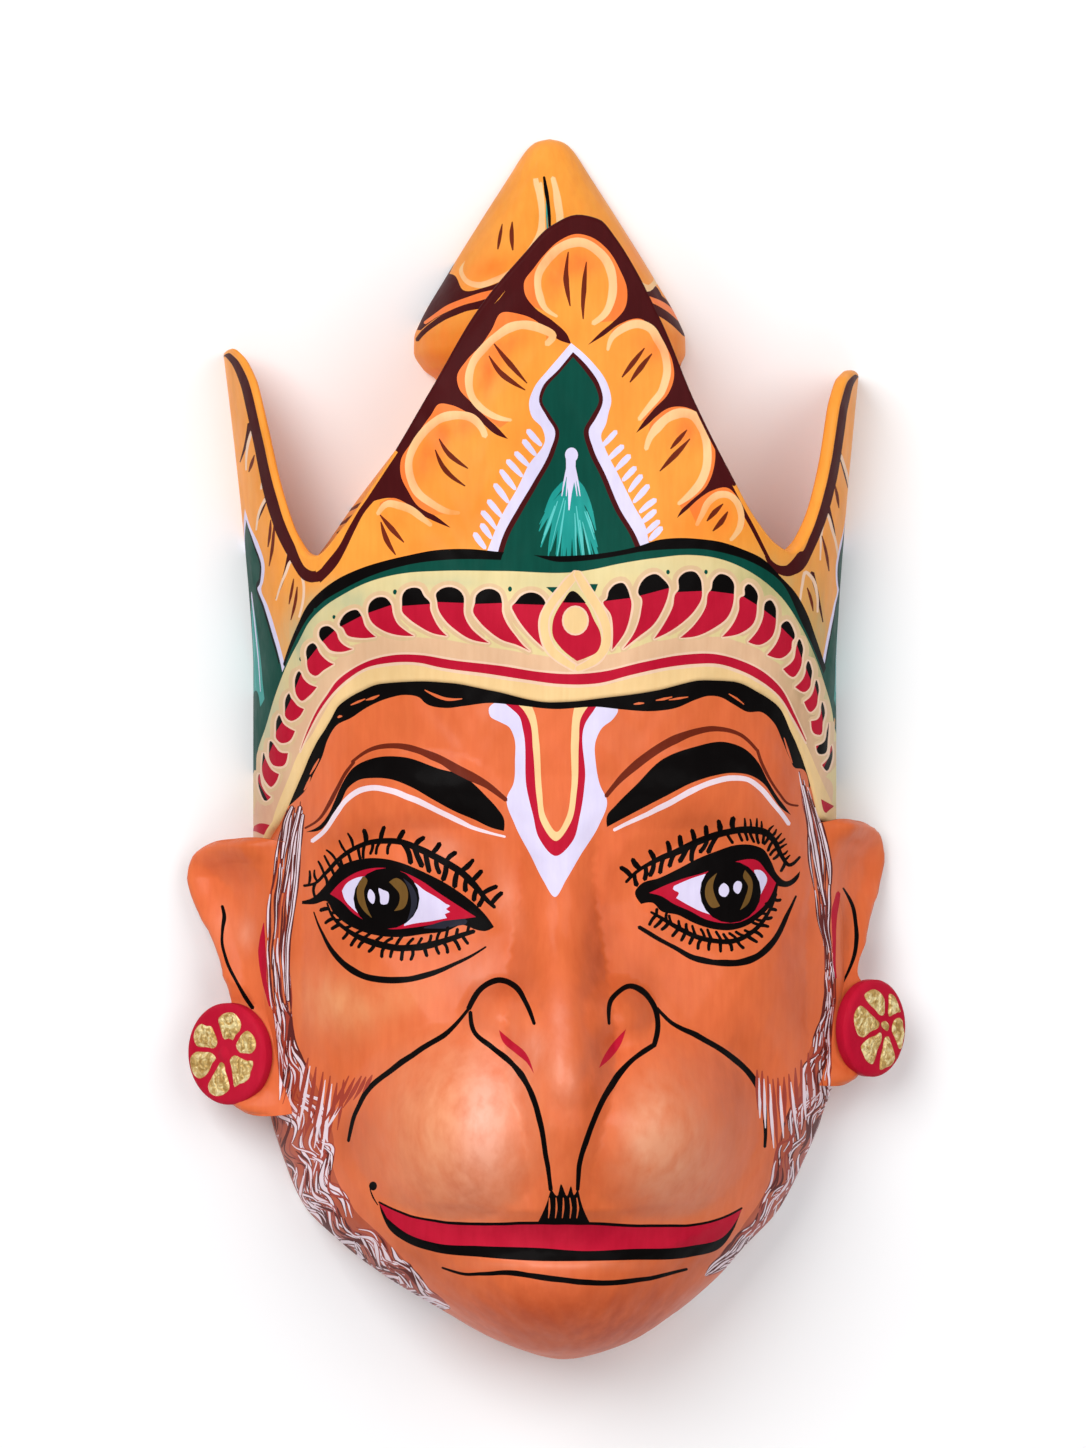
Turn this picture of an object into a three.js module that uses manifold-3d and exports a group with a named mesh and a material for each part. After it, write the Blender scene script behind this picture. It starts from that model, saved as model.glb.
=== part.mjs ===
// Monkey-faced mask of papier-mache: a hollow shell with a coronet, a pointed cap and two ears,
// and a disc earring glued on each ear lobe.
//
// Millimetres. The mask lies on its back rim, which is flat on Z = 0. X runs across the face,
// Y from the chin to the tip of the cap, and Z up out of the face. The origin is on the rim's
// plane, under the middle of the mask's outline.

import * as THREE from 'three';
import { mergeVertices } from 'three/addons/utils/BufferGeometryUtils.js';
import Module from 'manifold-3d';

const wasm = await Module();
wasm.setup();

// Driving dimensions

const HEIGHT = 304.8;                 // 12 inches, from the chin to the tip of the cap
const TIP_Y = HEIGHT / 2;
const WALL = 4;                       // papier-mache wall of the face and the cap
const HALF_WIDTH = 71.5;              // half the width of the head at the cheeks
const HEAD_DEPTH = 66;                // rim to forehead
const BOXINESS = 0.04;                // how much fuller than an ellipse the head's section is
const FACE_X = -1.5;                  // the painter's centre line, a little off the middle

const HEAD_TOP_Y = 41;                // where the head ends under the cap
const BAND_STEP = 3;                  // the crown's band stands this far over the forehead
const CORONET_SHEET = 4.2;            // thickness of the coronet's points
const EDGE_BEVEL = 1.1;               // roundness of their edges
const CORONET_HALF_WIDTH = 73.4;
const CORONET_X = -0.4;               // the crown sits this far off the middle
const CORONET_DEPTH = HEAD_DEPTH + BAND_STEP;
const LEFT_FLARE = 7.4;               // the side points lean this far out at their tips
const RIGHT_FLARE = 6.2;
const FLARE_FROM_Y = 20;
const FLARE_HEIGHT = 77;

const EARRING_RADIUS = 12.6;
const EARRING_THICKNESS = 4.2;
const TOUCHING_GAP = 0.3;             // between an earring and the lobe it is glued on

const SMALLEST_EDGE = 0.04;           // slivers left by the joins are closed up to this size
const FACE_COLUMNS = 42;
const FACE_ROWS = 52;
const CORONET_COLUMNS = 60;

// Stations down the middle of the face: the distance run along the skin from the level of the
// brow, then half the width, the level of the rim, the level of the front and its height, and how
// far the hand-shaped jaw wanders sideways.
const JAW_STATIONS = [
  [-HEAD_TOP_Y, 70.2, HEAD_TOP_Y, HEAD_TOP_Y, HEAD_DEPTH, 0],
  [0, 70.4, 0, 0, 65.5, 0],
  [20, 71, -20, -20, 63.5, 0],
  [40, HALF_WIDTH, -40, -40, 61, 0],
  [80, HALF_WIDTH, -80, -80, 61, 0],
  [93, 69.6, -93, -93, 62, 0],
  [105, 65.4, -105, -105, 62, -0.6],
  [117, 59.8, -116.5, -117, 61, -1],
  [127, 51.4, -125, -127, 60, -0.8],
  [136.5, 43, -132.5, -136, 57, 0.6],
  [147, 32, -139.8, -144.5, 51, 2.2],
  [157.5, 24, -144, -150, 42, 2.6],
  [173, 12, -148, -TIP_Y, 27, 2.2],
  [200, 0, -149.5, -149.5, 0, 0.5],
];

// Lower edge of the band over the forehead: degrees round the head from its middle, and level.
const ARCH_EDGE = [
  [-90, -27], [-73, -22], [-59, -16.4], [-49, -4], [-37.5, 7.7], [-25, 12.5], [-12, 11.5],
  [2, 10], [14, 11.3], [25.5, 13.2], [41, 8], [50, -0.4], [58, -11.5], [68, -19], [90, -23],
];

// Upper edge of the coronet, in the same terms: side point, valley, front point, valley, side point.
const CORONET_EDGE = [
  [-90, 97.6], [-84, 97.6], [-78.5, 95.6], [-74, 89.5], [-70.3, 76], [-66.5, 65.4], [-61.5, 54.5],
  [-58, 48.6], [-53, 43.4], [-50.5, 43], [-42.8, 51], [-32.1, 67.6], [-23.2, 85.4], [-15, 103.4],
  [-7, 117], [-2.3, 124], [2.4, 126.8], [6, 125.8], [8.9, 121.4], [17.2, 101.3], [23.8, 82.3],
  [31.9, 64.5], [37.6, 54.4], [43.5, 48], [47.5, 46.4], [51, 48.2], [55.5, 53.5], [59.3, 60.4],
  [62.6, 70.5], [65, 83.5], [69, 90.3], [75, 92.4], [90, 92.4],
];

// Outline of the pointed cap: level, and radius round its axis, which stands a little to one side.
const CAP_X = 0.9;
const CAP_PROFILE = [
  [36, 66], [41, 64], [47, 58.6], [60, 49.4], [75, 38], [86, 29.5], [91, 28.4], [94, 31.8],
  [98.5, 34.3], [102, 34.2], [105.8, 32.8], [117.2, 26.3], [132.4, 17.1], [143.8, 10.1],
  [148.3, 7.5], [151.2, 5], [TIP_Y, 0],
];

// Outline of an ear in its own plane: distance out from the root, and level.
const EAR_OUTLINE = [
  [-1, -40], [-1, -27], [5, -23.6], [14, -23.7], [22.5, -24.8], [28.4, -27.4], [31, -32.5], [27.2, -42],
  [21.6, -48.6], [16.5, -56], [12.6, -65], [14.5, -76], [12.5, -85], [7, -91], [0, -92.4],
  [-5, -86], [-5, -70], [-3, -54],
];
const EAR_ROOT_HEIGHT = 29;

// Small helpers

const rad = THREE.MathUtils.degToRad;
const { clamp, lerp, smoothstep } = THREE.MathUtils;

// A smooth curve through a table of numbers that never runs past them.
function smoothTable(table, column) {
  const at = table.map((row) => row[0]);
  const value = table.map((row) => row[column]);
  const slope = at.slice(1).map((x, i) => (value[i + 1] - value[i]) / (x - at[i]));
  const tangent = at.map((x, i) => {
    const before = slope[Math.max(i - 1, 0)];
    const after = slope[Math.min(i, slope.length - 1)];
    return before * after > 0 ? (2 * before * after) / (before + after) : 0;
  });
  return (x) => {
    const last = at.length - 2;
    let i = 0;
    while (i < last && x > at[i + 1]) i += 1;
    const width = at[i + 1] - at[i];
    const u = clamp((x - at[i]) / width, 0, 1);
    const rise = u * u * (3 - 2 * u);
    return lerp(value[i], value[i + 1], rise)
      + width * u * (1 - u) * ((1 - u) * tangent[i] - u * tangent[i + 1]);
  };
}

// A smooth mound of height 1 on an ellipse.
function mound(x, y, centreX, centreY, radiusX, radiusY, power = 2) {
  const away = ((x - centreX) / radiusX) ** 2 + ((y - centreY) / radiusY) ** 2;
  return away < 1 ? (1 - away) ** power : 0;
}

const boxy = (angle) => 1 + BOXINESS * Math.sin(2 * angle) ** 2;

// Closed solid from grids of points. Rows that shrink to one point, and triangles left without
// area, fall away when equal corners are merged.
function solidFromQuads(points, quads) {
  const geometry = new THREE.BufferGeometry();
  geometry.setAttribute('position', new THREE.Float32BufferAttribute(points.flat(), 3));
  geometry.setIndex(quads.flatMap(([a, b, c, d]) => [a, b, c, a, c, d]));
  return toSolid(geometry);
}

function toSolid(geometry) {
  const bare = geometry.clone();
  bare.deleteAttribute('normal');
  bare.deleteAttribute('uv');
  const merged = mergeVertices(bare, 1e-4);
  const index = Array.from(merged.index.array);
  const kept = [];
  for (let i = 0; i < index.length; i += 3) {
    const [a, b, c] = index.slice(i, i + 3);
    if (a !== b && b !== c && c !== a) kept.push(a, b, c);
  }
  return new wasm.Manifold(new wasm.Mesh({
    numProp: 3,
    vertProperties: Float32Array.from(merged.attributes.position.array),
    triVerts: Uint32Array.from(kept),
  }));
}

function toGeometry(solid) {
  const mesh = solid.getMesh();
  const geometry = new THREE.BufferGeometry();
  geometry.setAttribute('position', new THREE.BufferAttribute(Float32Array.from(mesh.vertProperties), 3));
  geometry.setIndex(new THREE.BufferAttribute(Uint32Array.from(mesh.triVerts), 1));
  geometry.computeVertexNormals();
  return geometry;
}

// Half body lying on a flat base: each row of points arches over from one side of the base to
// the other, and the first row closes the end. `below` carries the sides down past the base.
function halfBody(rows, below = 0) {
  const grid = rows.map((row) => {
    if (!below) return row;
    const first = row[0];
    const last = row[row.length - 1];
    return [[first[0], first[1], -below], ...row, [last[0], last[1], -below]];
  });
  const columns = grid[0].length;
  const at = (i, j) => i * columns + j;
  const quads = [];
  for (let i = 0; i + 1 < grid.length; i += 1) {
    for (let j = 0; j + 1 < columns; j += 1) {
      quads.push([at(i, j), at(i + 1, j), at(i + 1, j + 1), at(i, j + 1)]);
    }
    quads.push([at(i, columns - 1), at(i + 1, columns - 1), at(i + 1, 0), at(i, 0)]);
  }
  for (let j = 1; j + 1 < columns; j += 1) quads.push([at(0, 0), at(0, j), at(0, j + 1), at(0, 0)]);
  return solidFromQuads(grid.flat(), quads);
}

// Face

const jawWidth = smoothTable(JAW_STATIONS, 1);
const jawRimY = smoothTable(JAW_STATIONS, 2);
const jawFrontY = smoothTable(JAW_STATIONS, 3);
const jawFrontZ = smoothTable(JAW_STATIONS, 4);
const jawMiddle = smoothTable(JAW_STATIONS, 5);
const noseHeight = smoothTable(
  [[-112, 0], [-108, 1.5], [-96, 6], [-88, 10], [-80, 14.5], [-75, 14.5], [-55, 9], [-35, 5], [-20, 2], [-8, 0]],
  1,
);
const noseWidth = smoothTable([[-112, 7], [-96, 9], [-78, 13.5], [-55, 12], [-30, 9], [-8, 14]], 1);

// The large forms of the face, which the inside follows too.
function broadRelief(x, y) {
  const side = Math.abs(x - FACE_X);
  const muzzle = 14 * mound(side, y, 0, -95, 58, 52);
  const lobes = 12 * mound(side, y, 26, -91.5, 25, 24, 1.4);
  const sockets = -3.5 * mound(side, y, 38, -34, 27, 17, 1.5);
  const mouthLevel = -119 + 0.0035 * side ** 2;
  const lips = -2.6 * mound(side, y, 0, mouthLevel, 47, 7, 1.2);
  return muzzle + lobes + sockets + lips;
}

// What the papier-mache adds on the outside only.
function fineRelief(x, y) {
  const side = Math.abs(x - FACE_X);
  const nose = noseHeight(y) * mound(side, 0, 0, 0, noseWidth(y), 1, 1.3);
  const wings = 5.5 * mound(side, y, 14.5, -65, 9.5, 9, 1.5);
  const brow = 3.2 * mound(side, y, 35, -11 - 0.012 * (side - 30) ** 2, 28, 10, 1.5);
  const eyeball = 4.2 * mound(side, y, 39.5, -35.3, 21, 12, 1.2);
  const cheek = 3.5 * mound(side, y, 46, -60, 24, 20);
  const chin = 5 * mound(side, y, 0, -137, 30, 17);
  return nose + wings + brow + eyeball + cheek + chin;
}

// Point of the head's skin. `run` is the distance down the face and `angle` is round it.
// `inset` moves the point into the wall, for the hollow inside.
function headPoint(run, angle, inset = 0) {
  const round = boxy(angle);
  const narrower = 1 - inset / HALF_WIDTH;
  const shallower = 1 - inset / HEAD_DEPTH;
  const x = jawWidth(run) * Math.sin(angle) * round * narrower + jawMiddle(run);
  const forward = Math.cos(angle) ** 2;
  const lift = inset * smoothstep(run, 105, 160);
  const y = lerp(jawRimY(run), jawFrontY(run), forward) + lift;
  const upright = clamp(Math.cos(angle) * 2.2, 0, 1) * smoothstep(-run, -175, -150);
  const carved = broadRelief(x, y) + (inset ? 0 : fineRelief(x, y));
  const z = jawFrontZ(run) * Math.cos(angle) * round * shallower + carved * upright;
  return [x, y, Math.max(z, 0)];
}

function headRows(rows, columns, topRun, endRun, inset) {
  return Array.from({ length: rows + 1 }, (_, i) => {
    const run = lerp(topRun, endRun, i / rows);
    return Array.from({ length: columns + 1 }, (_, j) => {
      const angle = rad(lerp(-90, 90, j / columns));
      const [x, y, z] = headPoint(run, angle, inset);
      return j === 0 || j === columns ? [x, y, 0] : [x, y, z];
    });
  });
}

function buildHead() {
  return halfBody(headRows(FACE_ROWS, FACE_COLUMNS, -HEAD_TOP_Y, 200, 0));
}

function buildHeadHollow() {
  const hollowTop = HEAD_TOP_Y - WALL - 0.5;
  return halfBody(headRows(26, 24, -hollowTop, 200, WALL + 0.4), 6);
}

// Band and coronet

const archEdge = smoothTable(ARCH_EDGE, 1);
const coronetEdge = smoothTable(CORONET_EDGE, 1);

function coronetPoint(degrees, y, inset) {
  const angle = rad(degrees);
  const lean = degrees < 0 ? LEFT_FLARE : RIGHT_FLARE;
  const flare = lean * clamp((y - FLARE_FROM_Y) / FLARE_HEIGHT, 0, 1.2) ** 1.3;
  const x = CORONET_X + (CORONET_HALF_WIDTH + flare - inset) * Math.sin(angle) * boxy(angle);
  const z = (CORONET_DEPTH - inset) * Math.cos(angle) * boxy(angle);
  return [x, y, Math.abs(degrees) === 90 ? 0 : z];
}

// The band and the coronet are one sheet. Its section runs up the outside, over a rounded top
// edge and down the inside, and its lower edge steps in to the forehead.
function buildCoronet() {
  const sunk = BAND_STEP + 1.5;
  const upTheSheet = [0, 0.12, 0.25, 0.4, 0.55, 0.7, 0.82, 0.92, 1];
  const sections = [];
  for (let j = 0; j <= CORONET_COLUMNS; j += 1) {
    const degrees = lerp(-90, 90, j / CORONET_COLUMNS);
    const low = archEdge(degrees);
    const high = coronetEdge(degrees) + EDGE_BEVEL * 0.7;
    const top = high - EDGE_BEVEL;
    const outside = upTheSheet.map((u) => {
      const step = u === 0 ? BAND_STEP * 0.5 : 0;
      return coronetPoint(degrees, lerp(low, top, u), step);
    });
    const edge = [EDGE_BEVEL, CORONET_SHEET - EDGE_BEVEL].map((inset) => coronetPoint(degrees, high, inset));
    const inside = upTheSheet.slice(1).reverse().map((u) => {
      return coronetPoint(degrees, lerp(low, top, u), CORONET_SHEET);
    });
    const foot = coronetPoint(degrees, low, sunk);
    sections.push([...outside, ...edge, ...inside, foot]);
  }
  const count = sections[0].length;
  const at = (j, i) => j * count + (i % count);
  const quads = [];
  for (let j = 0; j < CORONET_COLUMNS; j += 1) {
    for (let i = 0; i < count; i += 1) {
      quads.push([at(j, i), at(j + 1, i), at(j + 1, i + 1), at(j, i + 1)]);
    }
  }
  const ring = upTheSheet.length;
  const ends = [];
  const cap = (j, flip) => {
    const pairs = [];
    for (let i = 0; i + 1 < ring; i += 1) {
      pairs.push([at(j, i), at(j, i + 1), at(j, count - 2 - i), at(j, count - 1 - i)]);
    }
    pairs.push([at(j, ring - 1), at(j, ring), at(j, ring + 1), at(j, ring + 2)]);
    ends.push(...pairs.map((quad) => (flip ? [...quad].reverse() : quad)));
  };
  cap(0, false);
  cap(CORONET_COLUMNS, true);
  return solidFromQuads(sections.flat(), [...quads, ...ends]);
}

// Pointed cap

function capRows(profile, rows, columns) {
  const radius = smoothTable(profile, 1);
  const bottom = profile[0][0];
  const top = profile[profile.length - 1][0];
  return Array.from({ length: rows + 1 }, (_, i) => {
    const share = i / rows;
    const y = lerp(bottom, top, 1 - (1 - share) ** 1.25);
    return Array.from({ length: columns + 1 }, (_, j) => {
      const angle = rad(lerp(90, -90, j / columns));
      const across = CAP_X + radius(y) * Math.sin(angle);
      const up = j === 0 || j === columns ? 0 : radius(y) * Math.cos(angle);
      return [across, y, up];
    });
  });
}

function buildCap() {
  return halfBody(capRows(CAP_PROFILE, 26, 18));
}

function buildCapHollow() {
  const profile = [
    [28, 60], [44, 56], [60, 44.5], [75, 33.2], [88, 24.5], [100, 25.5], [112, 23.5], [130, 12.6],
    [142, 4.6], [146, 0],
  ];
  return halfBody(capRows(profile, 12, 14), 6);
}

// Ears

function earFrame(side) {
  const left = side < 0;
  return {
    root: new THREE.Vector3(left ? -70.8 : 70.4, left ? 0 : 3.6, EAR_ROOT_HEIGHT),
    length: left ? 1 : 0.965,
    out: new THREE.Vector3(left ? -0.62 : 0.46, 0, left ? -0.785 : -0.888),
    front: new THREE.Vector3(left ? -0.785 : 0.888, 0, left ? 0.62 : 0.46),
  };
}

// The ear is a cupped plate. Rings run from the middle of its front, over its rolled rim, to the
// middle of its back: share of the outline's size, and height over the ear's plane.
const EAR_RINGS = [
  [0, -3], [0.35, -2.6], [0.62, -1.2], [0.8, 1.2], [0.9, 2], [0.98, 1.2], [1, -0.6], [0.94, -2.6],
  [0.7, -6], [0.4, -9], [0, -10],
];
const EAR_MIDDLE = [9, -44];
const EAR_COLUMNS = 24;

function buildEar(side) {
  const { root, out, front, length } = earFrame(side);
  const loop = new THREE.CatmullRomCurve3(EAR_OUTLINE.map(([u, v]) => new THREE.Vector3(u, v, 0)), true);
  const outline = loop.getSpacedPoints(EAR_COLUMNS).slice(0, EAR_COLUMNS);
  const rings = EAR_RINGS.map(([share, height]) => outline.map((point) => {
    const u = lerp(EAR_MIDDLE[0], point.x, share);
    const v = lerp(EAR_MIDDLE[1], point.y, share);
    const place = root.clone().addScaledVector(out, u).addScaledVector(front, height);
    return [place.x, place.y + v * length, place.z];
  }));
  const quads = [];
  for (let i = 0; i + 1 < rings.length; i += 1) {
    for (let j = 0; j < EAR_COLUMNS; j += 1) {
      const next = (j + 1) % EAR_COLUMNS;
      const quad = [
        i * EAR_COLUMNS + j, i * EAR_COLUMNS + next,
        (i + 1) * EAR_COLUMNS + next, (i + 1) * EAR_COLUMNS + j,
      ];
      quads.push(side < 0 ? quad.reverse() : quad);
    }
  }
  return solidFromQuads(rings.flat(), quads);
}

// Earrings: discs with a rounded front edge, each facing forward and out from its lobe.

const EARRING_TILT = rad(40);

function earringPlace(side) {
  const place = new THREE.Object3D();
  place.position.set(side * 80.2, side < 0 ? -77 : -71.2, 20);
  place.rotation.x = Math.PI / 2;
  place.quaternion.premultiply(
    new THREE.Quaternion().setFromAxisAngle(new THREE.Vector3(0, 1, 0), side * EARRING_TILT),
  );
  place.updateMatrixWorld();
  return place;
}

function earringProfile(grow, front) {
  const radius = EARRING_RADIUS + grow;
  const half = EARRING_THICKNESS / 2;
  return [
    [0, -half - grow], [radius - 0.5, -half - grow], [radius, -half + 0.6], [radius, half - 1 + front],
    [radius - 0.9, half - 0.1 + front], [0, half + 0.3 + front],
  ].map(([r, z]) => new THREE.Vector2(r, z));
}

function earringGeometry(grow = 0, front = 0) {
  return new THREE.LatheGeometry(earringProfile(grow, front), 26);
}

// Swelling of the lobe that carries the earring.
function buildLobe(side) {
  const place = earringPlace(side);
  const ball = new THREE.SphereGeometry(1, 16, 10);
  ball.scale(10, 9, 11);
  ball.translate(0, -EARRING_THICKNESS / 2 - 6, 0);
  ball.applyMatrix4(place.matrixWorld);
  return toSolid(ball);
}

// Swelling at the side of the head that the ear grows out of.
function buildEarRoot(side) {
  const ball = new THREE.SphereGeometry(1, 14, 12);
  ball.scale(8.5, 30, 10);
  ball.translate(side * 65, -56, 17);
  return toSolid(ball);
}

function earringClearance(side) {
  const geometry = earringGeometry(TOUCHING_GAP, 20);
  geometry.applyMatrix4(earringPlace(side).matrixWorld);
  return toSolid(geometry);
}

function buildEarSide(side) {
  const ear = buildEar(side).add(buildLobe(side)).add(buildEarRoot(side));
  return ear.subtract(earringClearance(side));
}

// Whole mask

function buildMask() {
  const outside = buildHead().add(buildCoronet()).add(buildCap()).add(buildEarSide(-1)).add(buildEarSide(1));
  const shell = outside.subtract(buildHeadHollow()).subtract(buildCapHollow());
  const bodies = shell.simplify(SMALLEST_EDGE).decompose();
  return bodies.sort((a, b) => b.volume() - a.volume())[0];
}

const skin = new THREE.MeshStandardMaterial({ color: 0xd9692f, roughness: 0.4, metalness: 0 });
const crimson = new THREE.MeshStandardMaterial({ color: 0xbe0f32, roughness: 0.35, metalness: 0 });

const group = new THREE.Group();

const mask = new THREE.Mesh(toGeometry(buildMask()), skin);
mask.name = 'mask';
group.add(mask);

for (const [name, side] of [['left_earring', -1], ['right_earring', 1]]) {
  const earring = new THREE.Mesh(earringGeometry(), crimson);
  earring.name = name;
  const place = earringPlace(side);
  earring.position.copy(place.position);
  earring.quaternion.copy(place.quaternion);
  group.add(earring);
}

export default group;
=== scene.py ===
# %% [markdown]
# A painted papier-mache mask with a monkey's face. It lies on its back rim, and the camera looks
# straight down on it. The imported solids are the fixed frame: they give the size and the place of
# every piece. Everything built here is a finer skin around them, in metres, in the same place.

# %% Start from the fixed frame
import math

import bpy
import numpy as np
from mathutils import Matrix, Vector
from mathutils.geometry import delaunay_2d_cdt
from mathutils.kdtree import KDTree


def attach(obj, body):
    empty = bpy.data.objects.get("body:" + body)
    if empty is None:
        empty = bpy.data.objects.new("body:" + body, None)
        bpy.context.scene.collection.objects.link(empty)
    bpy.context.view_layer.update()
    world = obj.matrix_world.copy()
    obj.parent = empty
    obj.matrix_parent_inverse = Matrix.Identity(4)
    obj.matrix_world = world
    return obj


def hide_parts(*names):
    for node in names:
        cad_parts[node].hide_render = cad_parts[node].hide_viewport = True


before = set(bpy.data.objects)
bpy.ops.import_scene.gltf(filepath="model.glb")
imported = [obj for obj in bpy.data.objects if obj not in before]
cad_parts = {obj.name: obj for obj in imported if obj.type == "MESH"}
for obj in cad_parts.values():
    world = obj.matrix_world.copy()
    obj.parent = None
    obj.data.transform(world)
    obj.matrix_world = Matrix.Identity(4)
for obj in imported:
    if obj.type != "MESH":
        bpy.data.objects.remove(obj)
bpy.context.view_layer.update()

MM = 0.001

# %% [markdown]
# The photograph was taken from about a metre and a half away, four degrees to the left of the
# middle. The camera comes first, because much of the painting below was measured as points in
# the picture: the same camera, run backwards, puts each of them on the mask's own skin.

# %% The camera, and where it sees a point
PICTURE = (1086, 1448)
CAMERA_AWAY = 1500.0                       # mm from the middle of the mask
CAMERA_AZIMUTH = math.radians(4)
LOOKED_AT = np.array([-0.76, 4.8, 0.0])
SENSOR = 36.0
LENS = 147.8
PIXELS = LENS / SENSOR * PICTURE[1]

camera = bpy.data.objects.new("camera", bpy.data.cameras.new("camera"))
camera.data.lens = LENS
camera.data.sensor_width = SENSOR
towards = np.array([-math.sin(CAMERA_AZIMUTH), 0, math.cos(CAMERA_AZIMUTH)])
camera.location = (LOOKED_AT + towards * CAMERA_AWAY) * MM
camera.rotation_euler = (0, -CAMERA_AZIMUTH, 0)
bpy.context.scene.collection.objects.link(camera)
bpy.context.scene.camera = camera


def seen_at(points):
    """Where the camera sees points that are given in mm, in pixels of the photograph."""
    away = points - LOOKED_AT
    ahead = CAMERA_AWAY - away @ towards
    across = away[:, 0] * math.cos(CAMERA_AZIMUTH) + away[:, 2] * math.sin(CAMERA_AZIMUTH)
    return np.column_stack([
        PICTURE[0] / 2 + PIXELS * across / ahead,
        PICTURE[1] / 2 - PIXELS * away[:, 1] / ahead,
    ])


print("one pixel is", round(CAMERA_AWAY / PIXELS, 3), "mm")

# %% [markdown]
# Papier-mache is laid over a clay form, so its surface is one soft skin with no straight
# line in it. A formula of two coordinates can give such a skin exactly: the mesh may then be as
# fine as the painting needs, and each point also knows the true slope of the surface there.

# %% Smooth curves and mounds
HALF_WIDTH = 71.5
HEAD_DEPTH = 66.0
BOXINESS = 0.04
FACE_X = -1.5
WALL = 4.4
SMALL = 0.05                               # mm, a step for measuring slopes


def smooth_table(table, column=1):
    """A curve through a table of numbers that never runs past them."""
    at = np.array([row[0] for row in table], float)
    value = np.array([row[column] for row in table], float)
    slope = np.diff(value) / np.diff(at)
    before, after = np.append(slope[:1], slope), np.append(slope, slope[-1:])
    both = before + after
    alike = before * after > 0
    tangent = np.where(alike, 2 * before * after / np.where(alike, both, 1), 0)

    def look_up(x):
        x = np.asarray(x, float)
        i = np.clip(np.searchsorted(at, x) - 1, 0, len(at) - 2)
        width = at[i + 1] - at[i]
        u = np.clip((x - at[i]) / width, 0, 1)
        rise = u * u * (3 - 2 * u)
        bend = width * u * (1 - u) * ((1 - u) * tangent[i] - u * tangent[i + 1])
        return value[i] + (value[i + 1] - value[i]) * rise + bend

    return look_up


def mound(x, y, middle_x, middle_y, radius_x, radius_y, power=2.0):
    """A smooth mound of height 1 on an ellipse."""
    away = ((x - middle_x) / radius_x) ** 2 + ((y - middle_y) / radius_y) ** 2
    return np.maximum(1 - away, 0) ** power


def ramp(x, low, high):
    """0 below low, 1 above high, and smooth between them."""
    t = np.clip((x - low) / (high - low), 0, 1)
    return t * t * (3 - 2 * t)


def boxy(angle):
    """How much fuller than an ellipse the head is."""
    return 1 + BOXINESS * np.sin(2 * angle) ** 2


def hand_made(x, y, size=0.16):
    """The slight lumps that paste and paper leave."""
    coarse = np.sin(x * 0.31 + 1.3 * np.sin(y * 0.17)) * np.sin(y * 0.27 + 1.1 * np.sin(x * 0.21))
    fine = np.sin(x * 0.83 + 2.0) * np.sin(y * 0.71 + 0.6 * np.sin(x * 0.5))
    return size * (coarse + 0.45 * fine)


print("a mound's flank:", [round(float(mound(x, 0, 0, 0, 4, 4)), 2) for x in range(5)])

# %% [markdown]
# The head is a half barrel that closes round the chin. Stations down the middle of the face
# give its width, its level and its height, and mounds on top of it make the muzzle, the nose,
# the brows, the eyeballs and the lips.

# %% The skin of the face
JAW_STATIONS = [
    [-41, 70.2, 41, 41, 66, 0], [0, 70.4, 0, 0, 65.5, 0], [20, 71, -20, -20, 63.5, 0],
    [40, 71.5, -40, -40, 61, 0], [80, 71.5, -80, -80, 61, 0], [93, 69.6, -93, -93, 62, 0],
    [105, 65.4, -105, -105, 62, -0.6], [117, 59.8, -116.5, -117, 61, -1],
    [127, 51.4, -125, -127, 60, -0.8], [136.5, 43, -132.5, -136, 57, 0.6],
    [147, 32, -139.8, -144.5, 51, 2.2], [157.5, 24, -144, -150, 42, 2.6],
    [173, 12, -148, -152.4, 27, 2.2], [200, 0, -149.5, -149.5, 0, 0.5],
]
jaw_width, jaw_rim, jaw_front, jaw_height, jaw_middle = [smooth_table(JAW_STATIONS, c) for c in range(1, 6)]
nose_height = smooth_table([
    (-112, 0), (-108, 1.5), (-96, 6), (-88, 10), (-80, 14.5), (-75, 14.5), (-55, 9), (-35, 5),
    (-20, 2), (-8, 0),
])
nose_width = smooth_table([(-112, 7), (-96, 9), (-78, 13.5), (-55, 12), (-30, 9), (-8, 14)])


def large_forms(x, y):
    side = np.abs(x - FACE_X)
    mouth = -119 + 0.0035 * side ** 2
    return (
        14 * mound(side, y, 0, -95, 58, 52) + 12 * mound(side, y, 26, -91.5, 25, 24, 1.4)
        - 3.5 * mound(side, y, 38, -34, 27, 17, 1.5) - 2.6 * mound(side, y, 0, mouth, 47, 7, 1.2)
    )


def small_forms(x, y):
    side = np.abs(x - FACE_X)
    return (
        nose_height(y) * mound(side, 0, 0, 0, nose_width(y), 1, 1.3)
        + 5.5 * mound(side, y, 14.5, -65, 9.5, 9, 1.5)
        + 3.2 * mound(side, y, 35, -11 - 0.012 * (side - 30) ** 2, 28, 10, 1.5)
        + 4.2 * mound(side, y, 39.5, -35.3, 21, 12, 1.2)
        + 3.5 * mound(side, y, 46, -60, 24, 20) + 5 * mound(side, y, 0, -137, 30, 17)
    )


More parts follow.
